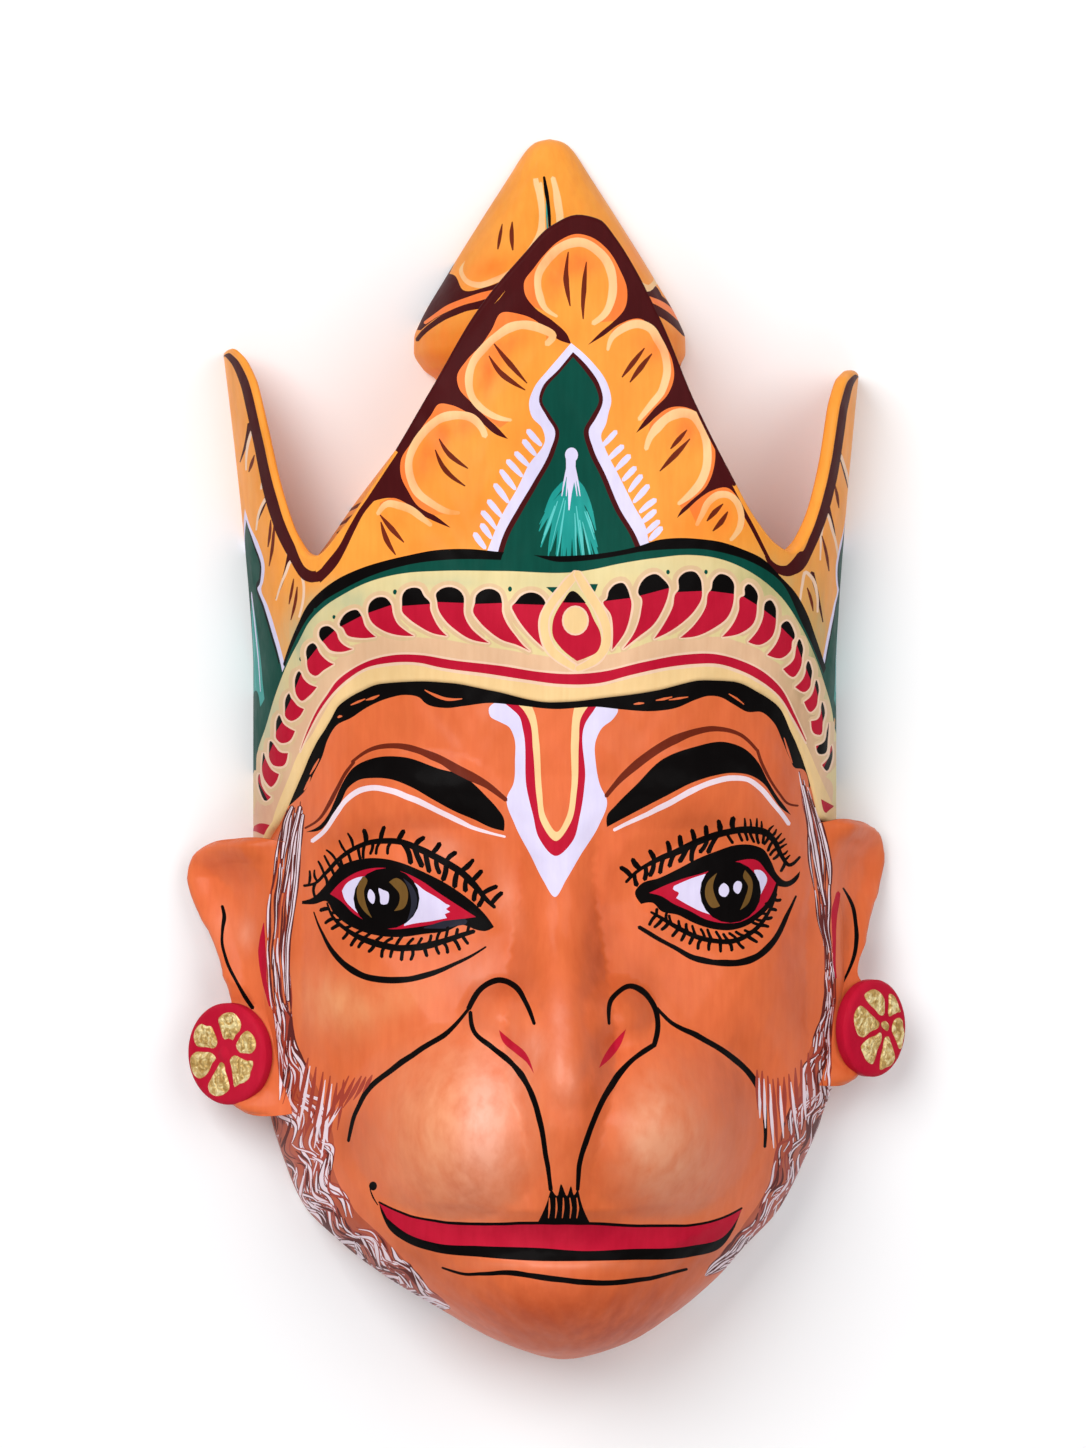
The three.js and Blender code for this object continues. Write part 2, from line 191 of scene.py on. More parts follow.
def head_point(across, up, inset=0.0):
    """`across` runs round the head and `up` over the face, both in mm along the skin."""
    angle, run = across / HALF_WIDTH, -up
    full = boxy(angle)
    x = jaw_width(run) * np.sin(angle) * full * (1 - inset / HALF_WIDTH) + jaw_middle(run)
    forward = np.cos(angle) ** 2
    y = jaw_rim(run) + (jaw_front(run) - jaw_rim(run)) * forward + inset * ramp(run, 105, 160)
    upright = np.clip(np.cos(angle) * 2.2, 0, 1) * ramp(-run, -175, -150)
    carved = large_forms(x, y)
    if not inset:
        carved = carved + small_forms(x, y) + hand_made(across, up)
    z = jaw_height(run) * np.cos(angle) * full * (1 - inset / HEAD_DEPTH) + carved * upright
    if not inset:
        x = x + np.sign(angle) * 4.8 * mound(y, z, -57, 18, 38, 17, 1.2)
    return np.column_stack([x, y, np.where(np.abs(angle) > math.pi / 2 - 1e-6, 0, np.maximum(z, 0))])


tip_of_nose = head_point(np.array([-1.0]), np.array([-77.0]))[0]
print("the tip of the nose, in mm:", tip_of_nose.round(1))

# %% [markdown]
# The mask is painted by hand in flat, opaque colours with crisp edges. A picture stretched over
# it would blur, so the brushwork is cut into the mesh itself: each brush mark is an outline
# on the skin, the skin is divided along all outlines, and each small triangle takes the colour of
# the last mark that covers it, as paint over paint does.

# %% Brush marks
hand = np.random.default_rng(12)
LINE_STEP = 3.0                            # pixels between the points of a brush mark
FLAT_STEP = 1.0                            # mm between them, for marks given in mm on the flat skin
BRUSH_SHAKE = 0.06                         # how far the width of a stroke wanders
REGION = "region"                          # an outline that only limits other marks
PAINTED_FROM = 0.03                        # how far a skin has to face the camera to be measured on
SEARCH_GRID = 260                          # points each way, among which from_picture starts
SEARCH_STEPS = 5
SEARCH_REACH = 4.0                         # mm that it may go from its start


def line_step(flat):
    return FLAT_STEP if flat else LINE_STEP


def smooth_line(points, step=LINE_STEP):
    """An even curve through the points."""
    p = np.array(points, float)
    gap = np.maximum(np.linalg.norm(np.diff(p, axis=0), axis=1), 1e-6)
    slope = np.diff(p, axis=0) / gap[:, None]
    tangent = np.repeat(slope[:1], len(p), axis=0)
    if len(p) > 2:
        mixed = slope[:-1] * gap[1:, None] + slope[1:] * gap[:-1, None]
        tangent[1:-1] = mixed / (gap[:-1] + gap[1:])[:, None]
        tangent[0] = 1.5 * slope[0] - 0.5 * tangent[1]
        tangent[-1] = 1.5 * slope[-1] - 0.5 * tangent[-2]
    line = []
    for i, length in enumerate(gap):
        t = np.linspace(0, 1, max(int(math.ceil(length / step)), 1), endpoint=False)[:, None]
        start, end = p[i] + 0 * t, p[i + 1] + 0 * t
        out, into = tangent[i] * length, tangent[i + 1] * length
        rise = t * t * (3 - 2 * t)
        bend = (t ** 3 - 2 * t ** 2 + t) * out + (t ** 3 - t ** 2) * into
        line.append(start + (end - start) * rise + bend)
    return np.vstack(line + [p[-1:]])


def closed_line(points, step):
    """An even curve through the points and back to the first of them."""
    p = list(points)
    line = smooth_line(p[-2:] + p + p[:2], step)
    start = np.argmin(np.linalg.norm(line - np.array(p[0]), axis=1))
    end = len(line) - 1 - np.argmin(np.linalg.norm(line[::-1] - np.array(p[0]), axis=1))
    return line[start:end]


def along(line):
    """How far along the line each of its points is, from 0 to 1."""
    run = np.append(0, np.cumsum(np.linalg.norm(np.diff(line, axis=0), axis=1)))
    return run / max(run[-1], 1e-9)


def length_of(line):
    return float(np.linalg.norm(np.diff(np.array(line, float), axis=0), axis=1).sum())


def at_shares(line, wanted):
    """The points at some shares of a line's length."""
    share = along(line)
    return np.column_stack([np.interp(wanted, share, line[:, k]) for k in (0, 1)])


def sideways(line):
    """Unit normals of a flat line."""
    step = np.gradient(line, axis=0)
    step /= np.maximum(np.linalg.norm(step, axis=1), 1e-9)[:, None]
    return np.column_stack([-step[:, 1], step[:, 0]])


def ribbon(line, width, flat=False):
    """The outline of a brush stroke. A row of widths is spread along the stroke."""
    share = along(line)
    if np.isscalar(width):
        width = np.interp(share, [0, 0.08, 0.92, 1], [0.55, 1, 1, 0.55]) * width
    else:
        width = np.interp(share, np.linspace(0, 1, len(width)), width)
    knots = np.linspace(0, 1, max(len(line) // 4, 3))
    width = width * (1 + np.interp(share, knots, hand.normal(0, BRUSH_SHAKE, len(knots))))
    normal = sideways(line)
    shift = hand.normal(0, 0.07 * line_step(flat), len(knots))
    line = line + normal * np.interp(share, knots, shift)[:, None]
    half = normal * width[:, None] / 2
    ahead, behind = line[-1] - line[-2], line[0] - line[1]
    nose = line[-1] + ahead / max(np.linalg.norm(ahead), 1e-6) * width[-1] * 0.4
    tail = line[0] + behind / max(np.linalg.norm(behind), 1e-6) * width[0] * 0.4
    return np.vstack([line + half, nose[None], (line - half)[::-1], tail[None]])


def nearest(points, wanted):
    """For each wanted point, the number of the nearest of the points."""
    tree = KDTree(len(points))
    for i, (x, y) in enumerate(points.tolist()):
        tree.insert((x, y, 0), i)
    tree.balance()
    return np.array([tree.find((x, y, 0))[1] for x, y in wanted.tolist()])


class Canvas:
    """One painted side of the mask: a skin with two coordinates in mm, and the marks on it."""

    def __init__(self, name, skin, low, high):
        self.name, self.skin = name, skin
        self.low, self.high = np.array(low, float), np.array(high, float)
        self.marks, self.tones = [], []

    def area(self, paint, *sides, first=None, flat=False, within=None):
        """A filled shape. Its sides are smooth curves, each from the end of the one before it.

        The first side starts at the end of the last one, or at the point given as first.
        """
        starts = [sides[-1][-1] if first is None else first] + [side[-1] for side in sides[:-1]]
        lines = [smooth_line([start, *side], line_step(flat))[:-1] for start, side in zip(starts, sides)]
        self.marks.append((paint, np.vstack(lines), flat, within))

    def ring(self, paint, points, flat=False):
        """A filled shape with no corner."""
        self.marks.append((paint, closed_line(points, line_step(flat)), flat, None))

    def stroke(self, paint, width, points, flat=False):
        """A brush stroke along a smooth curve."""
        line = smooth_line(points, line_step(flat))
        self.marks.append((paint, ribbon(line, width, flat), flat, None))

    def dab(self, paint, middle, radii):
        """A round or oval touch of the brush."""
        a = np.linspace(0, 2 * math.pi, 20, endpoint=False)
        outline = np.column_stack([middle[0] + np.cos(a) * radii[0], middle[1] + np.sin(a) * radii[1]])
        self.marks.append((paint, outline, False, None))

    def tone(self, colour, strength, middle, radii, turn=0.0):
        """A soft patch of another colour. Some are paint worked into the wet ground; on the face and the ears
        most are painted highlights and painted shade.
        """
        self.tones.append((colour, strength, middle, radii, math.radians(turn)))

    def slopes(self, flat_points):
        """Place, and how it changes with each coordinate."""
        u, v = flat_points.T
        here = self.skin(u, v)
        u0, u1 = np.clip([u - SMALL, u + SMALL], self.low[0], self.high[0])
        v0, v1 = np.clip([v - SMALL, v + SMALL], self.low[1], self.high[1])
        du = (self.skin(u1, v) - self.skin(u0, v)) / (u1 - u0)[:, None]
        dv = (self.skin(u, v1) - self.skin(u, v0)) / (v1 - v0)[:, None]
        return here, du, dv

    def normals(self, flat_points):
        here, du, dv = self.slopes(flat_points)
        out = np.cross(du, dv)
        length = np.linalg.norm(out, axis=1)
        return here, out / np.maximum(length, 1e-9)[:, None], length

    def from_picture(self, pixels):
        """The skin's coordinates at pixels of the photograph."""
        u, v = [np.linspace(self.low[k] + SMALL, self.high[k] - SMALL, SEARCH_GRID) for k in (0, 1)]
        grid = np.array(np.meshgrid(u, v)).reshape(2, -1).T
        place, out, _ = self.normals(grid)
        facing = out @ towards > PAINTED_FROM
        start = grid[facing][nearest(seen_at(place[facing]), pixels)]
        flat = start
        for _ in range(SEARCH_STEPS):
            here, du, dv = self.slopes(flat)
            now = seen_at(here)
            a, b = seen_at(here + du * SMALL) - now, seen_at(here + dv * SMALL) - now
            miss = (pixels - now) * SMALL
            size = a[:, 0] * b[:, 1] - a[:, 1] * b[:, 0]
            size = np.where(np.abs(size) < 1e-7, 1e-7, size)
            move = np.column_stack([
                miss[:, 0] * b[:, 1] - miss[:, 1] * b[:, 0], a[:, 0] * miss[:, 1] - a[:, 1] * miss[:, 0],
            ]) / size[:, None]
            flat = np.clip(flat + np.clip(move, -1, 1), self.low, self.high)
            flat = start + np.clip(flat - start, -SEARCH_REACH, SEARCH_REACH)
        return flat

    def outlines(self):
        """Every mark's outline in the skin's own coordinates, and the region that it keeps to."""
        seen = [m[1] for m in self.marks if not m[2]]
        found = self.from_picture(np.vstack(seen)) if seen else np.zeros((0, 2))
        cuts = np.cumsum([len(s) for s in seen])[:-1]
        found = iter(np.split(found, cuts)) if seen else iter(())
        result, regions = [], {}
        for paint, outline, flat, within in self.marks:
            outline = np.clip(outline, self.low, self.high) if flat else next(found)
            step = np.linalg.norm(outline - np.roll(outline, 1, axis=0), axis=1)
            outline = outline[step > 0.01]
            if paint == REGION:
                regions[within] = outline
            elif len(outline) > 2:
                result.append((paint, outline, regions.get(within)))
        return result, list(regions.values())


def covered(points, outline):
    """Which points lie inside an outline, also where it crosses itself."""
    x, y = points.T[:, :, None]
    x0, y0 = outline.T
    x1, y1 = np.roll(outline, -1, axis=0).T
    crossing = (y0 > y) != (y1 > y)
    at = x0 + (y - y0) * (x1 - x0) / np.where(y1 == y0, 1, y1 - y0)
    turns = np.where(crossing & (x < at), np.sign(y1 - y0), 0).sum(1)
    return turns != 0


print("a stroke of 30 pixels has", len(ribbon(smooth_line([(0, 0), (30, 0)]), 4.0)), "corners")

# %% [markdown]
# A sheet of papier-mache has two sides and an edge all round. The outer side is divided along
# the brush marks, the inner side only coarsely, and rows of points round the edge close the
# sheet, so that every piece is a whole body without a hole.

# %% Cut the marks into a closed sheet
UV_NAME = "OFBake"
UV_GAP = 0.005                             # space left at the border of the flat map
OUTER_MAP, INNER_MAP = (0.78, 0.84), (0.18, 0.84)    # width and height of the two sides on it
INNER_LEFT = 0.805
EDGE_LEFT, EDGE_WIDTH, EDGE_LOW, EDGE_HEIGHT = 0.02, 0.94, 0.86, 0.13
EDGE_BANDS = 6                             # the edge is cut into as many bands
BACK_COARSER = 3                           # the inner side has points this many times as far apart
AT_ONCE = 4000                             # points tested together, so that the arrays stay small
TONE_FADE = 1.4                            # how fast a soft patch fades outwards


def divide(points, loops, outline):
    """Triangles over points and closed loops, kept where they lie inside the outline."""
    corners, edges, count = [points], [], len(points)
    for loop in loops:
        edges += [(count + i, count + (i + 1) % len(loop)) for i in range(len(loop))]
        corners.append(loop)
        count += len(loop)
    found = delaunay_2d_cdt([Vector(p) for p in np.vstack(corners).tolist()], edges, [], 0, 1e-5)
    flat = np.array([tuple(p) for p in found[0]])
    faces = np.array(found[2])
    a, b, c = flat[faces[:, 0]], flat[faces[:, 1]], flat[faces[:, 2]]
    area = (b[:, 0] - a[:, 0]) * (c[:, 1] - a[:, 1]) - (b[:, 1] - a[:, 1]) * (c[:, 0] - a[:, 0])
    faces[area < 0] = faces[area < 0][:, ::-1]
    middle = (a + b + c) / 3
    keep = np.abs(area) > 1e-9
    keep[keep] = covered_in_parts(middle[keep], outline)
    faces = faces[keep]
    used, faces = np.unique(faces, return_inverse=True)
    return flat[used], faces.reshape(-1, 3)


def covered_in_parts(points, outline):
    return np.concatenate([covered(points[i:i + AT_ONCE], outline) for i in range(0, len(points), AT_ONCE)])


def border_of(faces):
    """The corners round the border, in order, and nothing of any smaller hole."""
    sides = np.vstack([faces[:, [0, 1]], faces[:, [1, 2]], faces[:, [2, 0]]])
    known = set(map(tuple, sides.tolist()))
    after = {a: b for a, b in known if (b, a) not in known}
    longest = []
    while after:
        start = next(iter(after))
        loop, now = [], start
        while now in after:
            loop.append(now)
            now = after.pop(now)
        longest = loop if len(loop) > len(longest) else longest
    return np.array(longest)


def even_points(outline, spacing):
    """Staggered rows of points inside an outline."""
    low, high = outline.min(0), outline.max(0)
    rows = np.arange(low[1] + spacing / 2, high[1], spacing * 0.87)
    points = []
    for i, v in enumerate(rows):
        u = np.arange(low[0] + spacing * (0.5 + 0.5 * (i % 2)), high[0], spacing)
        points.append(np.column_stack([u, np.full(len(u), v)]))
    points = np.vstack(points)
    return points[covered_in_parts(points, outline)]


def closed_sheet(canvas, outline, inner, edge_rows, spacing, ground, inside, edge):
    """Builds the piece of one canvas. `inner` maps the skin's coordinates to the inner side, and
    `edge_rows` gives the points from the outer border to the inner one."""
    marks, regions = canvas.outlines()
    loops = [outline] + [m[1] for m in marks] + regions
    flat, faces = divide(even_points(outline, spacing), loops, outline)
    middle = flat[faces].mean(1)
    border = border_of(faces)
    rim = flat[border]
    edge_paints = edge(rim) if callable(edge) else [edge] * len(rim)
    paints = sorted({m[0] for m in marks} | {ground, inside} | set(edge_paints))
    worn = np.full(len(faces), paints.index(ground))
    for paint, shape, region in marks:
        low, high = shape.min(0), shape.max(0)
        near = np.flatnonzero(((middle > low) & (middle < high)).all(1))
        if len(near):
            near = near[covered_in_parts(middle[near], shape)]
        if len(near) and region is not None:
            near = near[covered_in_parts(middle[near], region)]
        worn[near] = paints.index(paint)
    place, out, _ = canvas.normals(flat)

    back_flat, back_faces = divide(even_points(outline, spacing * BACK_COARSER), [rim], rim)
    rows = edge_rows(rim)
    back_from = len(flat)
    rows_from = back_from + len(back_flat)
    rings = [border]
    rings += [rows_from + k * len(rim) + np.arange(len(rim)) for k in range(len(rows))]
    rings += [back_from + nearest(back_flat, rim)]
    strips = [np.column_stack([np.roll(a, -1), a, b, np.roll(b, -1)]) for a, b in zip(rings, rings[1:])]
    corners = np.vstack([place, inner(*back_flat.T)] + rows)
    polygons = faces.tolist() + (back_faces[:, ::-1] + back_from).tolist() + np.vstack(strips).tolist()
    worn = np.concatenate([
        worn, np.full(len(back_faces), paints.index(inside)),
        np.tile([paints.index(p) for p in edge_paints], len(rows) + 1),
    ])

    mesh = bpy.data.meshes.new(canvas.name)
    mesh.from_pydata((corners * MM).tolist(), [], polygons)
    for paint in paints:
        mesh.materials.append(paint_pots[paint])
    mesh.polygons.foreach_set("material_index", worn.astype(np.int32))
    mesh.polygons.foreach_set("use_smooth", np.ones(len(polygons), bool))
    lay_out(mesh, flat, back_flat, rim, len(rows) + 1, faces, back_faces)
    mesh.update()
    normal = np.array([tuple(v.normal) for v in mesh.vertices])
    normal[:back_from] = out
    normal[back_from:rows_from] = -inner_normals(inner, back_flat)
    mesh.normals_split_custom_set_from_vertices(normal.tolist())
    add_tones(mesh, canvas, place, out)
    piece = bpy.data.objects.new(canvas.name, mesh)
    bpy.context.scene.collection.objects.link(piece)
    print(canvas.name, "has", len(marks), "brush marks and", len(polygons), "faces")
    return piece


def inner_normals(inner, flat):
    u, v = flat.T
    du, dv = inner(u + SMALL, v) - inner(u - SMALL, v), inner(u, v + SMALL) - inner(u, v - SMALL)
    out = np.cross(du, dv)
    return out / np.maximum(np.linalg.norm(out, axis=1), 1e-9)[:, None]


def lay_out(mesh, flat, back_flat, rim, rows, faces, back_faces):
    """A flat map for baking: the outer side large, the inner side small, the edge in bands."""
    low, high = flat.min(0), flat.max(0)
    share = (flat - low) / (high - low)
    back = np.clip((back_flat - low) / (high - low), 0, 1)
    run = np.append(0, np.cumsum(np.linalg.norm(np.diff(np.vstack([rim, rim[:1]]), axis=0), axis=1)))
    length = run[-1] / EDGE_BANDS
    strips = []
    for k in range(rows):
        for i in range(len(rim)):
            band = min(int(run[i] / length), EDGE_BANDS - 1)
            x0, x1 = [EDGE_LEFT + EDGE_WIDTH * ((at - band * length) / length) for at in run[i:i + 2]]
            y0, y1 = [EDGE_LOW + EDGE_HEIGHT * (band + (k + j) / rows * 0.9) / EDGE_BANDS for j in (0, 1)]
            strips += [(x1, y0), (x0, y0), (x0, y1), (x1, y1)]
    uv = np.vstack([
        share[faces.reshape(-1)] * OUTER_MAP + UV_GAP,
        back[back_faces[:, ::-1].reshape(-1)] * INNER_MAP + [INNER_LEFT, UV_GAP],
        np.array(strips),
    ])
    mesh.uv_layers.new(name=UV_NAME).data.foreach_set("uv", uv.astype(np.float32).reshape(-1))


def add_tones(mesh, canvas, place, out):
    """Mixes the canvas's soft patches into one colour for each corner."""
    colour, size = np.zeros((len(mesh.vertices), 4)), len(place)
    x, y = seen_at(place).T
    facing = ramp(out @ towards, -0.05, 0.1)
    for shade, strength, middle, radii, turn in canvas.tones:
        dx, dy = x - middle[0], y - middle[1]
        a = (dx * math.cos(turn) + dy * math.sin(turn)) / radii[0]
        b = (dy * math.cos(turn) - dx * math.sin(turn)) / radii[1]
        cover = strength * np.exp(-(a * a + b * b) * TONE_FADE) * facing
        mixed = colour[:size, 3] + cover * (1 - colour[:size, 3])
        part = (cover / np.maximum(mixed, 1e-6))[:, None]
        colour[:size, :3] += (np.array(linear(shade)) - colour[:size, :3]) * part
        colour[:size, 3] = mixed
    attribute = mesh.color_attributes.new("tone", "FLOAT_COLOR", "POINT")
    attribute.data.foreach_set("color", colour.astype(np.float32).reshape(-1))


def linear(colour):
    """An sRGB colour of 0 to 255, as the shader wants it."""
    c = np.array(colour, float) / 255
    return tuple(np.where(c <= 0.04045, c / 12.92, ((c + 0.055) / 1.055) ** 2.4))


print("the face's canvas is", round(HALF_WIDTH * math.pi), "mm wide")

# %% [markdown]
# The colours are opaque water paints under a thin coat of varnish. Each is a node material: a
# base colour that wanders a little between a thinner and a thicker lay of the same paint, fine
# streaks of the bristles in its bump, and a clear coat whose gloss varies from place to place.

# %% Mix the paints
PAINTS = {
    "skin": (224, 108, 56),
    "lilac_white": (222, 214, 241),
    "crimson": (190, 18, 50),
    "black": (12, 9, 9),
    "brown": (112, 40, 22),
    "maroon": (72, 18, 20),
    "cream": (240, 204, 146),
    "beige": (230, 188, 150),
    "pink_cream": (240, 204, 176),
    "ochre": (246, 158, 56),
    "ring_beige": (222, 188, 146),
    "peach": (246, 204, 146),
    "orange": (252, 126, 50),
    "green": (10, 74, 62),
    "teal": (20, 150, 142),
    "pale_teal": (90, 196, 192),
    "pale_green": (228, 208, 152),
    "iris_brown": (116, 84, 40),
    # a painted reflection: the grey sheen of varnish on black paint
    "grey_black": (44, 44, 56),
    "hair_brown": (102, 43, 40),
    "hair_ground": (188, 84, 50),
    "hair_red": (168, 62, 44),
    "lilac_grey": (240, 220, 228),
    "gold": (206, 166, 92),
    "raw_paper": (176, 150, 116),
    "edge_orange": (226, 128, 50),
}
TONED = {"skin", "ochre", "beige", "orange", "peach", "pale_green"}
THIN = 0.10                                # how far the colour of a paint wanders
SHINE = 0.36                               # the paint's roughness where it is smoothest
paint_pots = {}


def add_node(pot, kind, **values):
    """A node with its sockets set. In the name of a socket, _ stands for a space."""
    node = pot.node_tree.nodes.new("ShaderNode" + kind)
    for socket, value in values.items():
        node.inputs[socket.replace("_", " ")].default_value = value
    return node


def mix_paint(name, colour, gloss, toned):
    """One paint. `gloss` is how much the varnish reflects: a dark paint keeps less of it, or it
    would look grey. A toned paint also takes the soft patches of its canvas."""
    pot = bpy.data.materials.new(name)
    pot.use_nodes = True
    links = pot.node_tree.links
    shader = pot.node_tree.nodes["Principled BSDF"]
    place = add_node(pot, "TexCoord")

    def noise(scale, detail, stretch=(1, 1, 1)):
        mapping = add_node(pot, "Mapping", Scale=stretch)
        texture = add_node(pot, "TexNoise", Scale=scale, Detail=detail, Roughness=0.55)
        links.new(place.outputs["Object"], mapping.inputs["Vector"])
        links.new(mapping.outputs["Vector"], texture.inputs["Vector"])
        return texture.outputs["Fac"]

    def mixed(kind, factor, first, second):
        node = add_node(pot, "Mix")
        node.data_type = "RGBA"
        node.blend_type = kind
        for socket, value in ((0, factor), (6, first), (7, second)):
            if hasattr(value, "links"):
                links.new(value, node.inputs[socket])
            else:
                node.inputs[socket].default_value = value
        return node.outputs[2]

    def spread(value, low, high):
        node = add_node(pot, "MapRange", From_Min=0.3, From_Max=0.7, To_Min=low, To_Max=high)
        links.new(value, node.inputs["Value"])
        return node.outputs["Result"]

    base = np.array(linear(colour))
    deep = tuple(base * (1 - THIN * 1.3)) + (1,)
    chalk = THIN * 0.15 * min(1, 3 * base.mean())
    light = tuple(np.clip(base + (1 - base) * chalk + base * THIN * 0.8, 0, 1)) + (1,)
    cloud = noise(55, 5, (1, 0.6, 1))
    bristle = noise(700, 3, (1, 0.12, 0.4))
    paint = mixed("MIX", spread(cloud, 0, 1), deep, light)
    paint = mixed("MULTIPLY", spread(bristle, 0.0, THIN * 1.5), paint, deep)
    if toned:
        tone = add_node(pot, "VertexColor")
        tone.layer_name = "tone"
        ragged = spread(noise(240, 4, (1, 0.5, 1)), 0.55, 1.3)
        share = add_node(pot, "Math")
        share.operation = "MULTIPLY"
        share.use_clamp = True
        links.new(tone.outputs["Alpha"], share.inputs[0])
        links.new(ragged, share.inputs[1])
        paint = mixed("MIX", share.outputs[0], paint, tone.outputs["Color"])
    links.new(paint, shader.inputs["Base Color"])
    links.new(spread(noise(120, 4), SHINE, SHINE + 0.16), shader.inputs["Roughness"])
    lumps = add_node(pot, "Bump", Strength=0.35, Distance=0.0006)
    links.new(noise(90, 3), lumps.inputs["Height"])
    streaks = add_node(pot, "Bump", Strength=0.12, Distance=0.0002)
    links.new(noise(1100, 4, (1, 0.15, 0.5)), streaks.inputs["Height"])
    links.new(lumps.outputs["Normal"], streaks.inputs["Normal"])
    links.new(streaks.outputs["Normal"], shader.inputs["Normal"])
    shader.inputs["Coat Weight"].default_value = gloss * 0.6
    shader.inputs["Coat Roughness"].default_value = 0.16
    shader.inputs["Specular IOR Level"].default_value = gloss
    return pot


for paint_name, paint_colour in PAINTS.items():
    gloss = 0.02 if sum(paint_colour) < 260 else 0.14 if paint_name == "skin" else 0.08
    paint_pots[paint_name] = mix_paint(paint_name, paint_colour, gloss=gloss, toned=paint_name in TONED)
foil_pot = paint_pots["gold"]
foil_links = foil_pot.node_tree.links
foil_shader = foil_pot.node_tree.nodes["Principled BSDF"]
foil_shader.inputs["Metallic"].default_value = 0.3
creases = add_node(foil_pot, "TexNoise", Scale=260, Detail=4, Distortion=2.5)
foil_colour = add_node(foil_pot, "ValToRGB")
foil_stops = foil_colour.color_ramp.elements
for at, rgb in ((0.36, (172, 134, 72)), (0.5, (208, 174, 108)), (0.64, (242, 224, 168))):
    foil_stops.new(at).color = linear(rgb) + (1,)
foil_stops.remove(foil_stops[0])
foil_stops.remove(foil_stops[-1])
foil_place = add_node(foil_pot, "TexCoord")
foil_links.new(foil_place.outputs["Object"], creases.inputs["Vector"])
foil_links.new(creases.outputs["Fac"], foil_colour.inputs["Fac"])
foil_links.new(foil_colour.outputs["Color"], foil_shader.inputs["Base Color"])
foil_bump = add_node(foil_pot, "Bump", Strength=0.4, Distance=0.0005)
foil_links.new(creases.outputs["Fac"], foil_bump.inputs["Height"])
foil_links.new(foil_bump.outputs["Normal"], foil_shader.inputs["Normal"])
print("paints mixed:", len(paint_pots))

# %% [markdown]
# The face is an orange ground with the features drawn on it by brush. The painter's order
# is kept: ground, forehead mark, brows, eyes, nose and mouth.

# %% The forehead mark
FACE_LOW, FACE_TOP = -199.6, 41            # mm along the skin, from just above the brows
HOLLOW_TOP = 36.5                          # where the hollow inside ends
FACE_SIDE = HALF_WIDTH * math.pi / 2
face = Canvas("face", head_point, (-FACE_SIDE, FACE_LOW), (FACE_SIDE, FACE_TOP))

MARK_WHITE = [(496, 702), (489, 708), (490, 716), (500, 722), (509, 727), (514, 737), (515, 760),
    (513, 785), (507, 797), (515, 825), (531, 856), (543, 880), (555, 897), (566, 880), (580, 856),
    (599, 825), (607, 801), (600, 785), (596, 765), (596, 740), (602, 728), (613, 719), (618, 710),
    (612, 702)]
MARK_RED = [(500, 700), (513, 710), (519, 716), (523, 730), (527, 790), (533, 815), (539, 838), (556, 856),
    (572, 842), (580, 815), (585, 780), (586, 722), (594, 710), (600, 700)]
MARK_CREAM = [(512, 700), (524, 711), (529, 720), (533, 750), (537, 800), (541, 822), (556, 841),
    (570, 824), (577, 790), (579, 740), (581, 718), (590, 704)]
MARK_SKIN = [(529, 700), (535, 714), (539, 740), (542, 790), (546, 817), (557, 832), (566, 818),
    (571, 790), (571, 740), (573, 714), (576, 700)]
for paint_name, mark in (
    ("lilac_white", MARK_WHITE), ("crimson", MARK_RED), ("cream", MARK_CREAM), ("skin", MARK_SKIN),
):
    face.area(paint_name, mark[1:], mark[:1])
print("marks on the face so far:", len(face.marks))

# %% [markdown]
# Each brow is a broad black stroke, thick at the nose and hooked at the temple, with a brown
# line over it and a pale lilac one under it.

# %% The brows
face.area("black",
    [(492, 828), (475, 820), (454, 811), (432, 799), (411, 787), (389, 779), (374, 778), (359, 780),
     (348, 788), (341, 802), (332, 816), (320, 830), (306, 832)],
    [(319, 826), (328, 815), (335, 800), (342, 784), (353, 768), (374, 758), (403, 757), (440, 769),
     (464, 776), (475, 785), (486, 796), (497, 808), (504, 819), (504, 831)])
face.area("black",
    [(620, 820), (639, 810), (666, 796), (694, 782), (713, 776), (732, 773), (752, 776), (764, 784),
     (773, 797), (781, 808), (791, 815)],
    [(786, 808), (777, 796), (768, 781), (758, 762), (745, 749), (725, 742), (694, 747), (663, 759),
     (636, 785), (616, 805), (607, 816), (607, 827)])
face.stroke("brown", (3, 5, 8, 9, 4),
    [(352, 762), (372, 749), (397, 746), (430, 755), (462, 772), (488, 786), (506, 800)])
face.stroke("brown", (2, 4, 3), [(305, 828), (318, 820), (329, 805), (336, 791), (345, 774), (354, 762)])
face.stroke("brown", (4, 8, 8, 5, 3),
    [(606, 796), (624, 776), (645, 758), (678, 738), (715, 729), (741, 735), (757, 750)])
face.stroke("brown", (3, 3, 2), [(757, 750), (769, 778), (779, 793), (789, 804), (798, 806)])
face.stroke("lilac_grey", (4, 5.5, 6, 5, 2),
    [(312, 841), (324, 831), (336, 814), (345, 801), (359, 791), (374, 788), (392, 791), (411, 798),
     (432, 808), (454, 819), (477, 829), (505, 837)])
face.stroke("lilac_grey", (3, 5.5, 6, 5, 4),
    [(614, 830), (639, 818), (666, 805), (694, 790), (713, 782), (732, 778), (748, 780), (761, 789),
     (773, 803), (785, 818), (789, 824)])
print("marks on the face so far:", len(face.marks))
